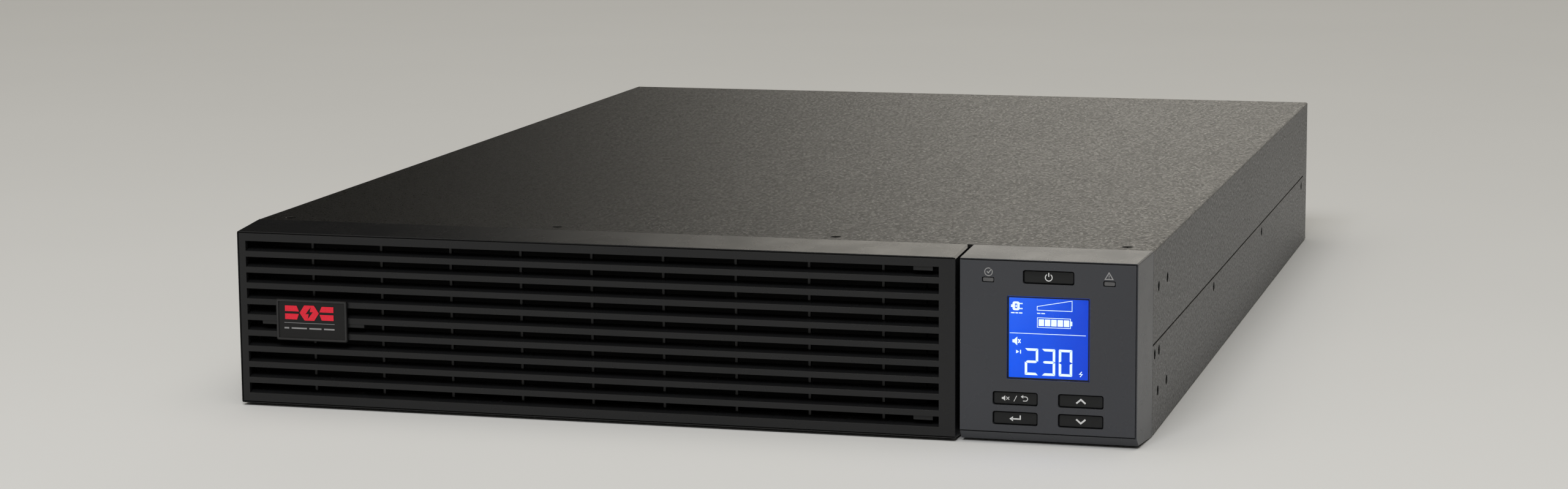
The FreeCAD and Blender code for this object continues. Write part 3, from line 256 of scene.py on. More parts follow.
def metal(name, colour, roughness):
    """Drawn or turned metal with fine scratches and a light tarnish."""
    finish = Finish(name)
    scratches = finish.noise(0.8 * MM, 4.0, finish.stretched(0.1, 1.0, 1.0))
    tarnish = finish.spread(finish.noise(6 * MM, 3.0), 0.4, 0.75, 0.0, 0.6)
    finish.set(
        Base_Color=finish.mix(tarnish, colour, tint(colour, 0.6)),
        Metallic=1.0,
        Roughness=finish.spread(scratches, 0.3, 0.7, roughness - 0.06, roughness + 0.1),
        Normal=finish.bump(scratches, 0.003 * MM, finish.rounded(0.12 * MM)),
    )
    return finish


def clear_window():
    """Clear plastic with a low reflection, as if its back were bonded to the cell."""
    finish = Finish("window_clear")
    smears = finish.noise(22 * MM, 3.0)
    finish.set(
        Base_Color=(0.97, 0.98, 1.0),
        Transmission_Weight=1.0,
        IOR=1.2,
        Roughness=finish.spread(smears, 0.45, 0.75, 0.0, 0.04),
    )
    return finish


def lit_display():
    """Lit blue cell, brightest towards its left side and palest in its top left corner."""
    finish = Finish("lcd_light")
    deep = (0.003, 0.052, 0.64)
    bright = (0.004, 0.108, 0.94)
    pale = (0.03, 0.15, 0.90)
    low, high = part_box("lcd_window")
    axes = finish.axes(finish.place)
    across = finish.spread(axes["X"], low.x, high.x, 1.0, 0.0)
    up = finish.spread(axes["Z"], low.z, high.z)
    corner = finish.times(across, finish.times(up, up))
    cloud = finish.spread(finish.noise(16 * MM, 2.0), 0.3, 0.7, -0.08, 0.08)
    share = finish.plus(finish.spread(across, 0.0, 1.0, 0.0, 0.9), cloud)
    glow = finish.mix(share, deep, bright)
    glow = finish.mix(finish.times(corner, 0.7), glow, pale)
    finish.set(
        Base_Color=(0.001, 0.003, 0.015),
        Roughness=0.3,
        Specular_IOR_Level=0.1,
        Emission_Color=glow,
        Emission_Strength=1.0,
    )
    return finish


def lit_segment():
    """White light through the display's segments, a little uneven."""
    finish = Finish("lcd_segment")
    shade = finish.spread(finish.noise(5 * MM, 2.0), 0.3, 0.7)
    finish.set(
        Base_Color=(0.5, 0.6, 0.7),
        Roughness=0.4,
        Emission_Color=finish.mix(shade, (0.62, 0.8, 1.0), (0.8, 0.92, 1.0)),
        Emission_Strength=0.95,
    )
    return finish


def ink(name, colour, roughness=0.55):
    """Screen-printed ink with slightly uneven cover."""
    finish = Finish(name)
    cover = finish.spread(finish.noise(0.5 * MM, 3.0), 0.3, 0.7)
    finish.set(
        Base_Color=finish.mix(cover, tint(colour, 0.86), tint(colour, 1.08)),
        Roughness=finish.spread(finish.noise(2 * MM), 0.3, 0.7, roughness - 0.08, roughness + 0.08),
        Normal=finish.bump(finish.noise(0.3 * MM), 0.004 * MM),
    )
    return finish


def make_finishes():
    """One material for each slot of the record, and those of the printed and lit pieces."""
    made = {
        "chassis_paint": powder_coat("chassis_paint", (0.009, 0.0088, 0.0082), 0.34),
        "zinc_sheet": plated("zinc_sheet", (0.60, 0.61, 0.62), 0.36),
        "dark_sheet": moulded("dark_sheet", (0.004, 0.004, 0.004), 0.5, 0.08),
        "black_screw": moulded("black_screw", (0.004, 0.004, 0.004), 0.5, 0.01, edge=0.1 * MM),
        "zinc_screw": metal("zinc_screw", (0.62, 0.62, 0.63), 0.3),
        "bezel_plastic": moulded("bezel_plastic", (0.0122, 0.0126, 0.0135), 0.27, 0.3),
        # Painted highlight: the badge's edges are made up to seven times lighter, for the light its
        # rim catches, on top of slight wear.
        "badge_plastic": moulded("badge_plastic", (0.0085, 0.0085, 0.009), 0.3, 0.3, wear_and_highlight=7.0),
        # Painted highlight: the finish of the bead on the badge's rim is about four times lighter than
        # the badge, for the light its edge catches.
        "badge_rim_highlight": moulded("badge_rim_highlight", (0.032, 0.032, 0.033), 0.35, 0.3, edge=0.1 * MM),
        "module_plastic": moulded("module_plastic", (0.052, 0.0545, 0.062), 0.27, 0.24),
        "key_plastic": moulded("key_plastic", (0.010, 0.0107, 0.0113), 0.36, 0.3, edge=0.15 * MM),
        "window_clear": clear_window(),
        "lamp_lens": moulded("lamp_lens", (0.10, 0.10, 0.104), 0.25, edge=0.15 * MM),
        "lcd_cell": moulded("lcd_cell", (0.02, 0.03, 0.09), 0.25),
        "circuit_board": moulded("circuit_board", (0.012, 0.11, 0.035), 0.34, grain=1.2 * MM),
        "component_black": moulded("component_black", (0.018, 0.018, 0.02), 0.42),
        "socket_plastic": moulded("socket_plastic", (0.014, 0.014, 0.015), 0.4),
        "rotor_plastic": moulded("rotor_plastic", (0.017, 0.017, 0.018), 0.36),
        "plated_wire": metal("plated_wire", (0.62, 0.61, 0.6), 0.24),
        "plated_pin": metal("plated_pin", (0.66, 0.65, 0.63), 0.22),
        "spring_brass": metal("spring_brass", (0.72, 0.5, 0.2), 0.3),
        "breaker_cap": moulded("breaker_cap", (0.6, 0.59, 0.56), 0.35),
        "terminal_green": moulded("terminal_green", (0.02, 0.26, 0.08), 0.36),
        "battery_case": moulded("battery_case", (0.07, 0.07, 0.075), 0.5, grain=0.8 * MM),
        "lead_insulation": moulded("lead_insulation", (0.3, 0.02, 0.02), 0.42),
        "fin_aluminium": metal("fin_aluminium", (0.66, 0.66, 0.67), 0.35),
        "capacitor_sleeve": moulded("capacitor_sleeve", (0.02, 0.035, 0.13), 0.28),
        "copper_wire": metal("copper_wire", (0.66, 0.27, 0.1), 0.3),
        "legend_ink": ink("legend_ink", (0.72, 0.73, 0.74)),
        "badge_red": ink("badge_red", (0.85, 0.012, 0.04), 0.5),
        "badge_grey": ink("badge_grey", (0.30, 0.30, 0.31)),
        "lamp_ink": ink("lamp_ink", (0.34, 0.34, 0.345)),
        "label_foil": ink("label_foil", (0.4, 0.4, 0.41), 0.35),
        "lcd_light": lit_display(),
        "lcd_segment": lit_segment(),
    }
    return {name: finish.material for name, finish in made.items()}


finishes = make_finishes()
OWN_FINISH = {"badge_plate": "badge_plastic"}


def dress_cad_nodes():
    """Gives each node the finish of its slot, or its own where the table above names one."""
    for part in frame["record"]["subparts"]:
        node = frame["nodes"][part["node"]]
        if not node.material_slots:
            node.data.materials.append(None)
        for slot in node.material_slots:
            slot.material = finishes[OWN_FINISH.get(part["node"], part["material_slot"])]


# ---------------------------------------------------------------- outlines, as loops of (x, z)
CORNER_STEPS = 5


def rounded_loop(centre, size, radius):
    """Rectangle with round corners, counterclockwise."""
    loop = []
    corners = [(1, 1, 0), (-1, 1, 90), (-1, -1, 180), (1, -1, 270)]
    for side, level, start in corners:
        x = centre[0] + side * (size[0] / 2 - radius)
        z = centre[1] + level * (size[1] / 2 - radius)
        for step in range(CORNER_STEPS + 1):
            angle = math.radians(start + 90 * step / CORNER_STEPS)
            loop.append((x + radius * math.cos(angle), z + radius * math.sin(angle)))
    return loop


def on_circle(centre, radius, turns):
    """Points on a circle at these angles in radians."""
    x, z = centre
    return [(x + radius * math.cos(turn), z + radius * math.sin(turn)) for turn in turns]


def round_loop(centre, radius, steps=40):
    return on_circle(centre, radius, [2 * math.pi * step / steps for step in range(steps)])


def arc_band(centre, radius, width, start, end, steps=40):
    """Band of constant width along an arc between two angles in degrees."""
    turns = [math.radians(start + (end - start) * step / steps) for step in range(steps + 1)]
    outer = on_circle(centre, radius + width / 2, turns)
    inner = on_circle(centre, radius - width / 2, turns[::-1])
    return outer + inner


def stroke(points, width):
    """Line of constant width through the points, mitred where it bends."""
    path = [Vector(point) for point in points]
    sides = ([], [])
    mitre_limit = 0.3
    for index, point in enumerate(path):
        before = (point - path[index - 1]).normalized() if index else None
        after = (path[index + 1] - point).normalized() if index + 1 < len(path) else None
        along = (before or after) + (after or before)
        along.normalize()
        across = Vector((-along.y, along.x))
        reach = width / 2 / max(mitre_limit, along.dot(before or after))
        sides[0].append(tuple(point + across * reach))
        sides[1].append(tuple(point - across * reach))
    return sides[0] + sides[1][::-1]


def bar(left, top, right, low):
    """Shape of one rectangle."""
    return [[(left, top), (right, top), (right, low), (left, low)]]


def moved(loops, centre, scale=1.0):
    """Loops scaled about the origin, then carried to a centre."""
    return [[(centre[0] + scale * x, centre[1] + scale * z) for x, z in loop] for loop in loops]


def in_metres(loops):
    """Loops that were given in millimetres of the model's frame."""
    return moved(loops, (0, 0), MM)


# ---------------------------------------------------------------- mesh helpers
WELD = 1e-7
SHARP_ANGLE = math.radians(35)


def piece_of(name, bm, body, slot, finish=None):
    """Finishes a mesh as a named piece that rides on a body, with the finish named, or else the finish
    of the slot.
    """
    bmesh.ops.remove_doubles(bm, verts=bm.verts, dist=WELD)
    bmesh.ops.recalc_face_normals(bm, faces=bm.faces)
    mesh = bpy.data.meshes.new(name)
    bm.to_mesh(mesh)
    bm.free()
    mesh.materials.append(finishes[finish or slot])
    piece = bpy.data.objects.new(name, mesh)
    scene.collection.objects.link(piece)
    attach(piece, body)
    return piece


def stamp(bm, loops, low_y, high_y):
    """Adds the flat shape within the loops, holes left open, as a solid between two Y values."""
    curve = bpy.data.curves.new("outline", "CURVE")
    curve.dimensions = "2D"
    curve.fill_mode = "BOTH"
    curve.extrude = (high_y - low_y) / 2
    for loop in loops:
        spline = curve.splines.new("POLY")
        spline.points.add(len(loop) - 1)
        for point, (x, z) in zip(spline.points, loop):
            point.co = (x, z, 0, 1)
        spline.use_cyclic_u = True
    helper = bpy.data.objects.new("outline", curve)
    mesh = bpy.data.meshes.new_from_object(helper)
    middle = (low_y + high_y) / 2
    facing_front = Matrix(((1, 0, 0, 0), (0, 0, -1, middle), (0, 1, 0, 0), (0, 0, 0, 1)))
    mesh.transform(facing_front)
    bm.from_mesh(mesh)
    bpy.data.objects.remove(helper)
    bpy.data.curves.remove(curve)
    bpy.data.meshes.remove(mesh)


def printed(name, shapes, low_y, high_y, body, slot, finish=None):
    """One piece from several flat shapes, each a list of loops."""
    bm = bmesh.new()
    for loops in shapes:
        stamp(bm, loops, low_y, high_y)
    piece_of(name, bm, body, slot, finish)


def loft(bm, rings):
    """Closed solid through rings that have equally many points."""
    layers = [[bm.verts.new(point) for point in ring] for ring in rings]
    for lower, upper in zip(layers, layers[1:]):
        for index in range(len(lower)):
            following = (index + 1) % len(lower)
            bm.faces.new((lower[index], lower[following], upper[following], upper[index]))
    bm.faces.new(layers[0])
    bm.faces.new(layers[-1][::-1])


def shaded_smooth(piece):
    """Smooth shading that stays sharp where faces meet at a sharp angle."""
    for polygon in piece.data.polygons:
        polygon.use_smooth = True
    modifier = piece.modifiers.new("corners", "EDGE_SPLIT")
    modifier.split_angle = SHARP_ANGLE


# ---------------------------------------------------------------- keys
front_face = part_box("display_housing")[0].y
KEY_NODES = ("power_button", "mute_button", "enter_button", "up_button", "down_button")
# Print stands INK proud of its face. The badge's mark and print go SUNK into its floor.
INK = 0.04 * MM
SUNK = 0.01 * MM
FACE_WALL = 2.5 * MM
SKIRT_GAP = 0.3 * MM
SKIRT_REACH = 1.1 * MM
SKIRT_THICK = 0.8 * MM
KEY_CORNER = 0.9 * MM
KEY_LEAST_CORNER = 0.05 * MM
KEY_RIM = 0.5 * MM
KEY_CROWN = 0.16 * MM
KEY_RIDGE = 0.1 * MM
KEY_STEPS = 5
STEM_RADIUS = 2 * MM
STEM_OVERLAP = 0.1 * MM


def key_cap(node):
    """Crowned cap with a rounded rim, a skirt and a stem, in place of the plain CAD key."""
    low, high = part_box(node)
    centre = (low + high) / 2
    width = high.x - low.x - 2 * SKIRT_REACH
    height = high.z - low.z - 2 * SKIRT_REACH
    skirt_front = front_face + FACE_WALL + SKIRT_GAP
    skirt_back = skirt_front + SKIRT_THICK

    def ring(y, inset):
        size = (width - 2 * inset, height - 2 * inset)
        corner = max(KEY_CORNER - abs(inset), KEY_LEAST_CORNER)
        return [(x, y, z) for x, z in rounded_loop((centre.x, centre.z), size, corner)]

    rings = [ring(skirt_back, -SKIRT_REACH), ring(skirt_front, -SKIRT_REACH), ring(skirt_front, 0)]
    for step in range(KEY_STEPS + 1):
        turn = math.pi / 2 * step / KEY_STEPS
        depth = KEY_CROWN + KEY_RIM * (1 - math.sin(turn))
        rings.append(ring(low.y + depth, KEY_RIM * (1 - math.cos(turn))))
    rise = height / 2 - KEY_RIDGE - KEY_RIM
    for step in range(1, KEY_STEPS + 1):
        share = step / KEY_STEPS
        depth = KEY_CROWN * (1 - math.sin(share * math.pi / 2))
        rings.append(ring(low.y + depth, KEY_RIM + rise * share))
    bm = bmesh.new()
    loft(bm, rings)
    stem = round_loop((centre.x, centre.z), STEM_RADIUS, 20)
    loft(bm, [[(x, y, z) for x, z in stem] for y in (skirt_back - STEM_OVERLAP, high.y)])
    cap = piece_of(node.replace("button", "key"), bm, node, "key_plastic")
    shaded_smooth(cap)
    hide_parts(node)


def key_symbol(node, shapes):
    """Symbol printed on the crown of a key, its shapes in millimetres from the key's centre."""
    low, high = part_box(node)
    centre = ((low.x + high.x) / 2, (low.z + high.z) / 2)
    placed = [moved(loops, centre, MM) for loops in shapes]
    name = node.replace("button", "symbol")
    printed(name, placed, low.y - INK, low.y + KEY_CROWN / 2, node, "legend_ink")


def chevron(direction):
    """Arrowhead that points up for 1 and down for -1."""
    rise = 0.9 * direction
    return [[stroke([(-2.1, -rise), (0, rise), (2.1, -rise)], 0.75)]]


def power_mark():
    """Ring that is open at the top, with an upright line in the gap."""
    return [[arc_band((0, 0), 1.55, 0.42, 122, 418)], [stroke([(0, 0.35), (0, 2.15)], 0.46)]]


def enter_mark():
    """Arrow that comes down and turns left."""
    shaft = stroke([(2.3, 1.45), (2.3, -0.25), (-1.2, -0.25)], 0.6)
    head = [(-2.7, -0.25), (-1.0, 0.9), (-1.0, -1.4)]
    return [[shaft], [head]]


def speaker_mark(centre):
    """Small loudspeaker with a cross beside it."""
    upper = [(-2.0, 0.45), (-1.35, 0.45), (-0.45, 1.25)]
    body = upper + [(x, -z) for x, z in upper[::-1]]
    cross = [stroke([(0.1, level), (1.4, -level)], 0.34) for level in (0.65, -0.65)]
    return [moved([loop], centre) for loop in (body, *cross)]


def back_mark(centre):
    """Arrow that turns back, for leaving a menu."""
    hook = arc_band((0.3, 0.0), 0.95, 0.36, -90, 90, 16)
    bars = [stroke([(0.35, level), (-0.9, level)], 0.36) for level in (0.95, -0.95)]
    head = [(-1.9, 0.95), (-0.8, 1.75), (-0.8, 0.15)]
    return [moved([loop], centre) for loop in (hook, *bars, head)]


def make_keys():
    """The five keys and what is printed on them."""
    for node in KEY_NODES:
        key_cap(node)
    key_symbol("power_button", power_mark())
    slash = [[stroke([(-0.65, -1.3), (0.65, 1.3)], 0.3)]]
    key_symbol("mute_button", speaker_mark((-4.2, 0)) + slash + back_mark((4.4, 0)))
    key_symbol("enter_button", enter_mark())
    key_symbol("up_button", chevron(1))
    key_symbol("down_button", chevron(-1))


# ---------------------------------------------------------------- display
window_low, window_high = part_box("lcd_window")
panel_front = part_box("lcd_panel")[0].y


def make_lamp_symbols():
    """Tick in a ring and warning triangle, printed above the two lamps."""
    low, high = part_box("indicator_lenses")
    above_lens = 2.65 * MM
    half_lens = 2.6 * MM
    height = high.z + above_lens
    tick = stroke([(-0.75, 0.25), (-0.1, -0.5), (1.35, 1.25)], 0.42)
    ring = arc_band((0, 0), 1.75, 0.36, 62, 388)
    outer = [(0, 1.95), (-2.15, -1.65), (2.15, -1.65)]
    inner = [(0, 1.1), (-1.45, -1.25), (1.45, -1.25)]
    mark = stroke([(0, 0.35), (0, -0.5)], 0.34)
    dot = round_loop((0, -0.87), 0.19, 12)
    for name, x, shapes in (
        ("ready_symbol", low.x + half_lens, [[ring], [tick]]),
        ("fault_symbol", high.x - half_lens, [[outer, inner], [mark], [dot]]),
    ):
        placed = [moved(loops, (x, height), MM) for loops in shapes]
        surfaces = (front_face - INK, front_face + INK)
        printed(name, placed, *surfaces, "display_module", "legend_ink", "lamp_ink")


def digit(character, left, top, width, height, thick):
    """Seven-segment digit, its corner at left and top, with z counted downwards."""
    gap = 0.12
    half = height / 2
    level = half - thick / 2
    under = half + thick / 2
    near_end = gap + thick / 3
    top_bar = [(gap, 0), (width - gap, 0), (width - thick - gap, thick), (thick + gap, thick)]
    upper = [(0, gap), (thick, thick + gap), (thick, level - gap), (0, half - gap)]
    middle = [(near_end, half), (thick + gap, level), (width - thick - gap, level)]
    middle += [(width - near_end, half), (width - thick - gap, under), (thick + gap, under)]
    segments = {
        "a": top_bar,
        "b": [(width - x, z) for x, z in upper],
        "c": [(width - x, height - z) for x, z in upper],
        "d": [(x, height - z) for x, z in top_bar],
        "e": [(x, height - z) for x, z in upper],
        "f": upper,
        "g": middle,
    }
    lit = {"2": "abged", "3": "abgcd", "0": "abcdef"}[character]
    return [[[(left + x, top + z) for x, z in segments[name]]] for name in lit]


# Each symbol below is in millimetres to the right of and below the display's top left corner.
def plug_symbol():
    """Mains plug with its pins to the right, over three short bars for a caption."""
    body = [rounded_loop((3.6, 4.5), (3.2, 4.0), 0.9), rounded_loop((3.6, 4.5), (1.1, 2.2), 0.4)]
    lead = bar(1.3, 3.9, 2.1, 5.1)
    core = bar(3.35, 4.0, 3.9, 5.0)
    pins = [bar(5.1, top, 6.6, top + 0.5) for top in (3.1, 5.4)]
    caption = [bar(left, 7.4, right, 7.9) for left, right in ((1.3, 2.9), (3.3, 4.5), (4.9, 6.5))]
    return [body, lead, *pins, core, *caption]


def load_gauge():
    """Outline of a wedge that rises to the right, over two short bars for a caption."""
    wedge = [(13.1, 4.3), (29.2, 1.2), (29.2, 6.2), (13.1, 6.2)]
    inside = [(13.35, 4.5), (28.95, 1.5), (28.95, 5.95), (13.35, 5.95)]
    caption = [bar(left, 7.3, right, 7.7) for left, right in ((13.2, 14.7), (15.1, 16.8))]
    return [[wedge, inside], *caption]


def battery_gauge():
    """Outline of a battery with five full cells."""
    case = bar(13.2, 9.4, 28.5, 14.0) + bar(13.45, 9.65, 28.25, 13.75)
    terminal = bar(28.5, 10.7, 29.2, 12.7)
    count = 5
    first = 13.95
    pitch = 2.87
    gap = 0.42
    lefts = [first + cell * pitch for cell in range(count)]
    cells = [bar(left, 10.2, left + pitch - gap, 13.2) for left in lefts]
    return [case, terminal, *cells]


def quiet_symbol():
    """Loudspeaker with a cross, for a silenced buzzer."""
    speaker = [(2.0, 19.8), (2.8, 19.8), (4.2, 18.5), (4.2, 22.5), (2.8, 21.2), (2.0, 21.2)]
    strokes = [stroke([(4.6, top), (5.7, low)], 0.4) for top, low in ((19.6, 21.4), (21.4, 19.6))]
    return [[loop] for loop in (speaker, *strokes)]


def input_symbol():
    """Arrow against a bar, for a reading of what comes in."""
    return [[[(3.7, 24.5), (5.1, 25.35), (3.7, 26.2)]], bar(5.5, 24.5, 5.95, 26.2)]


def display_content():
    """Everything that the display shows."""
    divider = bar(0.8, 16.75, 35.4, 17.0)
    shapes = plug_symbol() + load_gauge() + battery_gauge() + [divider]
    shapes += quiet_symbol() + input_symbol()
    top = 23.6
    width = 6.1
    height = 12.2
    thick = 1.1
    for character, left in (("2", 7.7), ("3", 15.45), ("0", 23.2)):
        shapes += digit(character, left, top, width, height, thick)
    bolt = stroke([(33.7, 33.3), (32.7, 34.5), (33.9, 34.5), (32.9, 35.7)], 0.32)
    return shapes + [[bolt]]


def make_display():
    """Lit pane and its segments, in the narrow gap between the clear window and the cell, and a
    painted shadow round the window's edge.
    """
    gap_front = window_high.y
    gap = panel_front - gap_front
    pane_depths = (gap_front + 0.7 * gap, panel_front)
    segment_depths = (gap_front + 0.3 * gap, gap_front + 0.7 * gap)
    corner = 0.4 * MM
    inner_corner = 0.3 * MM
    middle = ((window_low.x + window_high.x) / 2, (window_low.z + window_high.z) / 2)
    size = (window_high.x - window_low.x, window_high.z - window_low.z)
    pane = [rounded_loop(middle, size, corner)]
    printed("display_light", [pane], *pane_depths, "display_module", "lcd_cell", "lcd_light")
    # Painted shadow: a thin dark frame printed all round the front of the window, standing in for the
    # shade at the edge of its opening.
    border = 0.55 * MM
    clear = (size[0] - 2 * border, size[1] - 2 * border)
    painted_shadow_frame = [rounded_loop(middle, size, corner), rounded_loop(middle, clear, inner_corner)]
    face = window_low.y
    printed("window_painted_shadow", [painted_shadow_frame], face - INK, face + INK, "display_module", "key_plastic")
    segments = [
        [[(window_low.x + x * MM, window_high.z - z * MM) for x, z in loop] for loop in loops]
        for loops in display_content()
    ]
    printed(
        "display_segments", segments, *segment_depths, "display_module", "lcd_cell", "lcd_segment"
    )


# ---------------------------------------------------------------- badge
badge_low, badge_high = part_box("badge_plate")
BADGE_CENTRE = ((badge_low.x + badge_high.x) / 2, (badge_low.z + badge_high.z) / 2)
BADGE_INSET = 0.5 * MM
BADGE_FLOOR = badge_low.y + BADGE_INSET


def make_badge_mark():
    """Plain generic mark, in relief: a bolt in a hexagon between two pairs of bars."""
    mark_centre = (-1.2, 3.5)
    turns = [math.radians(turn) for turn in range(0, 360, 60)]
    hexagon = [(4.9 * math.cos(turn), 4.2 * math.sin(turn)) for turn in turns]
    bolt = [(0.9, 3.0), (-1.9, -0.5), (-0.3, -0.5), (-0.9, -3.0), (1.9, 0.5), (0.3, 0.5)]
    shapes = [moved([hexagon, bolt], mark_centre)]
    half_bar = 1.35
    end = 12.4
    for side in (-1, 1):
        for level, lean in ((1.95, -0.55), (-1.95, 0.55)):
            low = level - half_bar
            high = level + half_bar
            outline = [(5.8 + lean, low), (end, low), (end, high), (5.9 - lean, high)]
            shapes.append(moved([[(side * x, z) for x, z in outline]], mark_centre))
    placed = [moved(loops, BADGE_CENTRE, MM) for loops in shapes]
    relief = 0.25 * MM
    printed("badge_mark", placed, BADGE_FLOOR - relief, BADGE_FLOOR + SUNK, "badge", "badge_red")


def make_badge_bead():
    """Thin raised bead along the badge's rim, in a much lighter finish that paints the highlight its
    edge catches.
    """
    inset = 0.35 * MM
    rim_width = 0.55 * MM
    height = 0.1 * MM
    size = (badge_high.x - badge_low.x - 2 * inset, badge_high.z - badge_low.z - 2 * inset)
    inner_size = (size[0] - 2 * rim_width, size[1] - 2 * rim_width)
    rim = [rounded_loop(BADGE_CENTRE, size, 0.9 * MM)]
    rim.append(rounded_loop(BADGE_CENTRE, inner_size, 0.4 * MM))
    face = badge_low.y
    printed("badge_bead", [rim], face - height, face + INK, "badge", "bezel_plastic", "badge_rim_highlight")


def make_badge_rule():
    """Fine rule over a row of dashes, in place of a second line of wording."""
    left = -14.2
    shapes = [bar(left, -1.4, 11.6, -1.6)]
    gap = 1.3
    for length in (2.4, 7.8, 6.2, 5.4):
        shapes.append(bar(left, -3.7, left + length, -4.4))
        left += length + gap
    placed = [moved(loops, BADGE_CENTRE, MM) for loops in shapes]
    depths = (BADGE_FLOOR - INK, BADGE_FLOOR + SUNK)
    printed("badge_rule", placed, *depths, "badge", "legend_ink", "badge_grey")


# ---------------------------------------------------------------- rear
rear_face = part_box("rear_panel")[1].y


def printed_behind(name, shapes, face, slot, finish=None):
    """Flat shapes in millimetres, printed on a face of the chassis that is seen from behind."""
    placed = [in_metres(loops) for loops in shapes]
    printed(name, placed, face - INK, face + INK, "chassis", slot, finish)


def centre_of(node):
    """Middle of a node's box, as millimetres along X and Z."""
    low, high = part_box(node)
    return (low.x + high.x) / 2 / MM, (low.z + high.z) / 2 / MM


def make_serial_face():
    """Dark insulator on the data port's core, with nine contact rings in two rows."""
    x, z = centre_of("serial_port")
    recess = 1.0 * MM
    thick = 0.2 * MM
    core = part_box("serial_port")[1].y - recess
    face = core + thick
    outline = [(-6.9, -3.2), (6.9, -3.2), (7.3, 3.2), (-7.3, 3.2)]
    placed = in_metres(moved([outline], (x, z)))
    printed("serial_insulator", [placed], core - INK, face, "chassis", "socket_plastic")
    pitch = 2.77
    row = 1.42
    outer = 0.62
    inner = 0.34
    rings = []
    for count, level in ((5, row), (4, -row)):
        for index in range(count):
            place = (x + (index - (count - 1) / 2) * pitch, z + level)
            rings.append([round_loop(place, outer, 20), round_loop(place, inner, 16)])
    printed_behind("serial_contacts", rings, face, "spring_brass")


def make_usb_contacts():
    """Four spring strips above and below the tongue of the square data port."""
    x, z = centre_of("usb_port")
    recess = 1.2 * MM
    tongue_end = rear_face - recess
    length = 7 * MM
    beside = 1.25
    above = 1.65
    width = 1.0
    thick = 0.12
    strips = []
    for level in (-1, 1):
        for side in (-1, 1):
            left = x + side * beside - width / 2
            low = z + level * above - thick / 2
            strips.append(in_metres(bar(left, low, left + width, low + thick)))
    printed("usb_contacts", strips, tongue_end - length, tongue_end, "chassis", "spring_brass")


def make_fan_labels():
    """Plain round label on each fan's hub, with an arrow for the sense of rotation."""
    hub_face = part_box("fan_housing_left")[1].y
    label_radius = 12.5
    line_radius = 11.6
    reach = 5.6
    tip_turn = math.radians(14)
    for side in ("left", "right"):
        x, z = centre_of(f"fan_housing_{side}")
        disc = [round_loop((x, z), label_radius, 64)]
        printed_behind(f"fan_label_{side}", [disc], hub_face, "legend_ink", "label_foil")
        arrow = arc_band((x, z), reach, 0.8, 20, 200)
        tip_x = x + reach * math.cos(tip_turn)
        tip_z = z + reach * math.sin(tip_turn)
        head = [(tip_x + 0.4, tip_z - 1.8), (tip_x - 1.7, tip_z + 0.7), (tip_x + 1.8, tip_z + 1.2)]
        line = arc_band((x, z), line_radius, 0.3, 0, 359.9, 90)
        shapes = [[arrow], [head], [line]]
        printed_behind(f"fan_arrow_{side}", shapes, hub_face + INK, "key_plastic")


def earth_sign():
    """Sign of protective earth, over its screw."""
    x, z = centre_of("earth_screw")
    above_screw = 11.5
    stem = 2.6
    half_line = 0.25
    pitch = 1.1
    top = z + above_screw
    shapes = [bar(x - half_line, top, x + half_line, top - stem)]
    for index, reach in enumerate((2.6, 1.7, 0.8)):
        level = top - stem - pitch * index
        shapes.append(bar(x - reach, level, x + reach, level - 2 * half_line))
    return shapes


def power_arrows():
    """Arrows over the mains inlet: one down for power in, one up for power out."""
    inlet_x, _ = centre_of("inlet_socket")
    above_inlet = 3.6
    beside = 4.5
    half_length = 1.9
    half_head = 1.5
    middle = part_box("inlet_socket")[1].z / MM + above_inlet
    shapes = []
    for sign in (-1, 1):
        x = inlet_x + sign * beside
        tip = middle + sign * half_length
        tail = middle - sign * half_length
        shapes.append([stroke([(x, tail), (x, middle)], 0.7)])
        shapes.append([[(x, tip), (x - half_head, middle), (x + half_head, middle)]])
    return shapes


def outlet_bracket():
    """Line between the two rows of outlets, with a tick at each end."""
    low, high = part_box("outlet_sockets")
    inset = 2
    half_line = 0.25
    half_tick = 1.6
    level = (low.z + high.z) / 2 / MM
    left = low.x / MM + inset
    right = high.x / MM - inset
    shapes = [bar(left, level - half_line, right, level + half_line)]
    for end in (left, right):
        shapes.append(bar(end - half_line, level - half_tick, end + half_line, level + half_tick))
    return shapes


def make_rear_marks():
    """All that is printed on the rear panel, as one piece."""
    shapes = earth_sign() + power_arrows() + outlet_bracket()
    printed_behind("rear_marks", shapes, rear_face, "legend_ink", "lamp_ink")


dress_cad_nodes()
make_keys()
make_lamp_symbols()
make_display()
make_badge_mark()
make_badge_bead()
make_badge_rule()
make_serial_face()
make_usb_contacts()
make_fan_labels()
make_rear_marks()

# ---------------------------------------------------------------- light, floor and camera
CAMERA_PLACE = Vector((0.4543, -1.7680, 0.3252))
CAMERA_HEADING = math.radians(15.424)
CAMERA_TILT = math.radians(8.969)
CAMERA_ROLL = math.radians(-0.385)
CAMERA_LENS = 76.73
FLOOR_REACH = 20
FLOOR_SQUARES = 8
FLOOR_DROP = 0.1 * MM


def make_camera():
    data = bpy.data.cameras.new("camera")
    data.sensor_width = 36
    data.lens = CAMERA_LENS
    data.clip_start = 0.02
    data.clip_end = 100
    camera = bpy.data.objects.new("camera", data)
    turn = Matrix.Rotation(CAMERA_HEADING, 4, "Z")
    turn = turn @ Matrix.Rotation(math.pi / 2 - CAMERA_TILT, 4, "X")
    turn = turn @ Matrix.Rotation(CAMERA_ROLL, 4, "Z")
    camera.matrix_world = Matrix.Translation(CAMERA_PLACE) @ turn
    scene.collection.objects.link(camera)
    scene.camera = camera


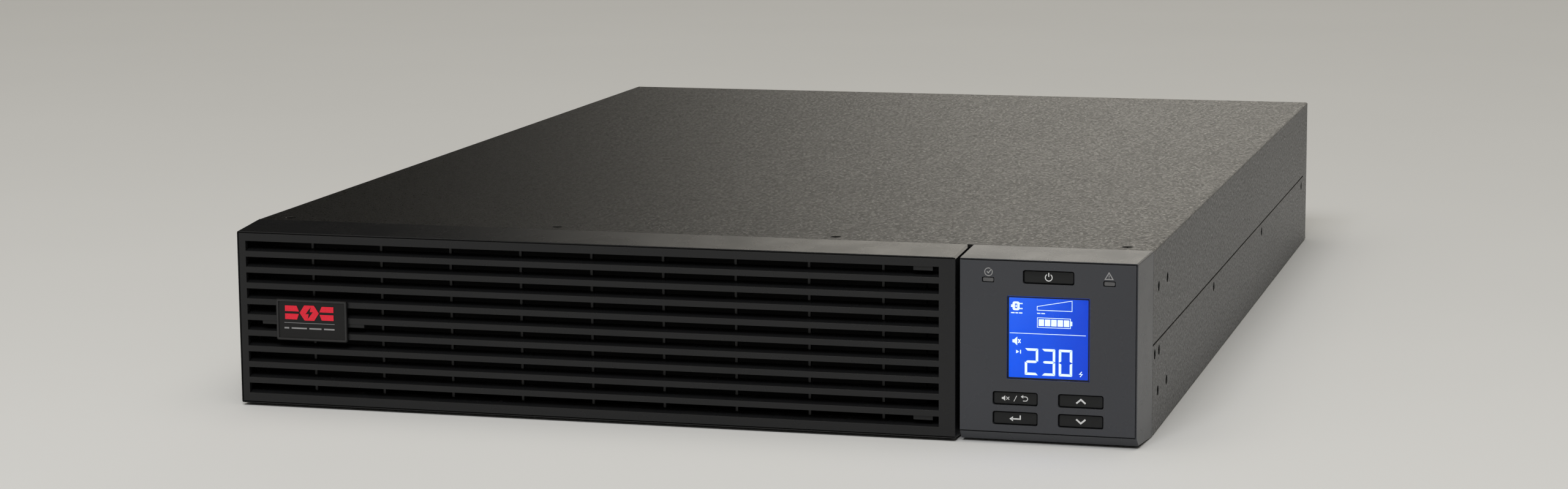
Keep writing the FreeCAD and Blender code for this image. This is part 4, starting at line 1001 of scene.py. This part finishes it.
def make_floor():
    """Wide pale floor, just under the base so that the two faces don't coincide."""
    bm = bmesh.new()
    bmesh.ops.create_grid(bm, x_segments=FLOOR_SQUARES, y_segments=FLOOR_SQUARES, size=FLOOR_REACH)
    mesh = bpy.data.meshes.new("floor")
    bm.to_mesh(mesh)
    bm.free()
    finish = Finish("floor")
    finish.set(
        Base_Color=finish.mix(finish.noise(0.4, 3.0), (0.79, 0.80, 0.81), (0.83, 0.84, 0.85)),
        Roughness=0.9,
        Specular_IOR_Level=0.1,
    )
    mesh.materials.append(finish.material)
    floor = bpy.data.objects.new("floor", mesh)
    floor.location.z = -FLOOR_DROP
    scene.collection.objects.link(floor)


def make_key_light():
    """Softbox in front of the object and above it."""
    place = Vector((0.2, -2.5, 2.3))
    target = Vector((0.1, -0.3, 0.04))
    data = bpy.data.lights.new("key_light", "AREA")
    data.shape = "RECTANGLE"
    data.size = 1.4
    data.size_y = 1.0
    data.energy = 42
    light = bpy.data.objects.new("key_light", data)
    light.location = place
    light.rotation_euler = (target - place).to_track_quat("-Z", "Y").to_euler()
    light.visible_camera = False
    scene.collection.objects.link(light)


def make_world():
    """Dim studio: a low glow behind and a little to the right, a bright ceiling and light in front."""
    ambient = 0.005
    glow_power = 0.6
    glow_rise = 4.4
    most_lean = math.radians(3.5)
    front_power = 0.6
    left_share = 0.45
    world = bpy.data.worlds.new("studio")
    world.use_nodes = True
    scene.world = world
    studio = NodeGraph(world.node_tree)
    axes = studio.axes(studio.nodes.new("ShaderNodeTexCoord").outputs["Generated"])

    def ramp(given, start, end, low=0.0, high=1.0):
        return studio.spread(given, start, end, low, high, "SMOOTHSTEP")

    heading = studio.calculate("ARCTAN2", axes["X"], axes["Y"])
    lean = ramp(axes["Z"], 0.17, 0.27, 0.0, most_lean)
    left_edge = ramp(studio.plus(heading, lean), math.radians(-19), math.radians(-8.5))
    right_edge = ramp(heading, math.radians(10), math.radians(40), 1.0, 0.0)
    low_sky = ramp(axes["Z"], 0.26, 0.36, 1.0, 0.0)
    glow = studio.times(studio.times(left_edge, right_edge), low_sky)
    glow = studio.times(glow, ramp(axes["Z"], 0.15, 0.27, 1.0, glow_rise))
    overhead = ramp(axes["Z"], 0.7, 0.95)
    # The light in front is weaker on the left and fades out on the right.
    in_front = studio.times(ramp(axes["Y"], 0.1, -0.6), ramp(axes["Z"], -0.1, 0.4))
    in_front = studio.times(in_front, ramp(axes["X"], 0.35, 0.8, 1.0, 0.0))
    in_front = studio.times(in_front, ramp(axes["X"], -0.7, 0.5, left_share, 1.0))
    strength = studio.plus(ambient, studio.times(glow, glow_power))
    strength = studio.plus(strength, overhead)
    strength = studio.plus(strength, studio.times(in_front, front_power))
    background = studio.nodes["Background"]
    studio.feed(background.inputs["Color"], (1.0, 0.95, 0.85))
    studio.feed(background.inputs["Strength"], strength)


make_camera()
make_floor()
make_world()
make_key_light()
scene.view_settings.view_transform = "Standard"
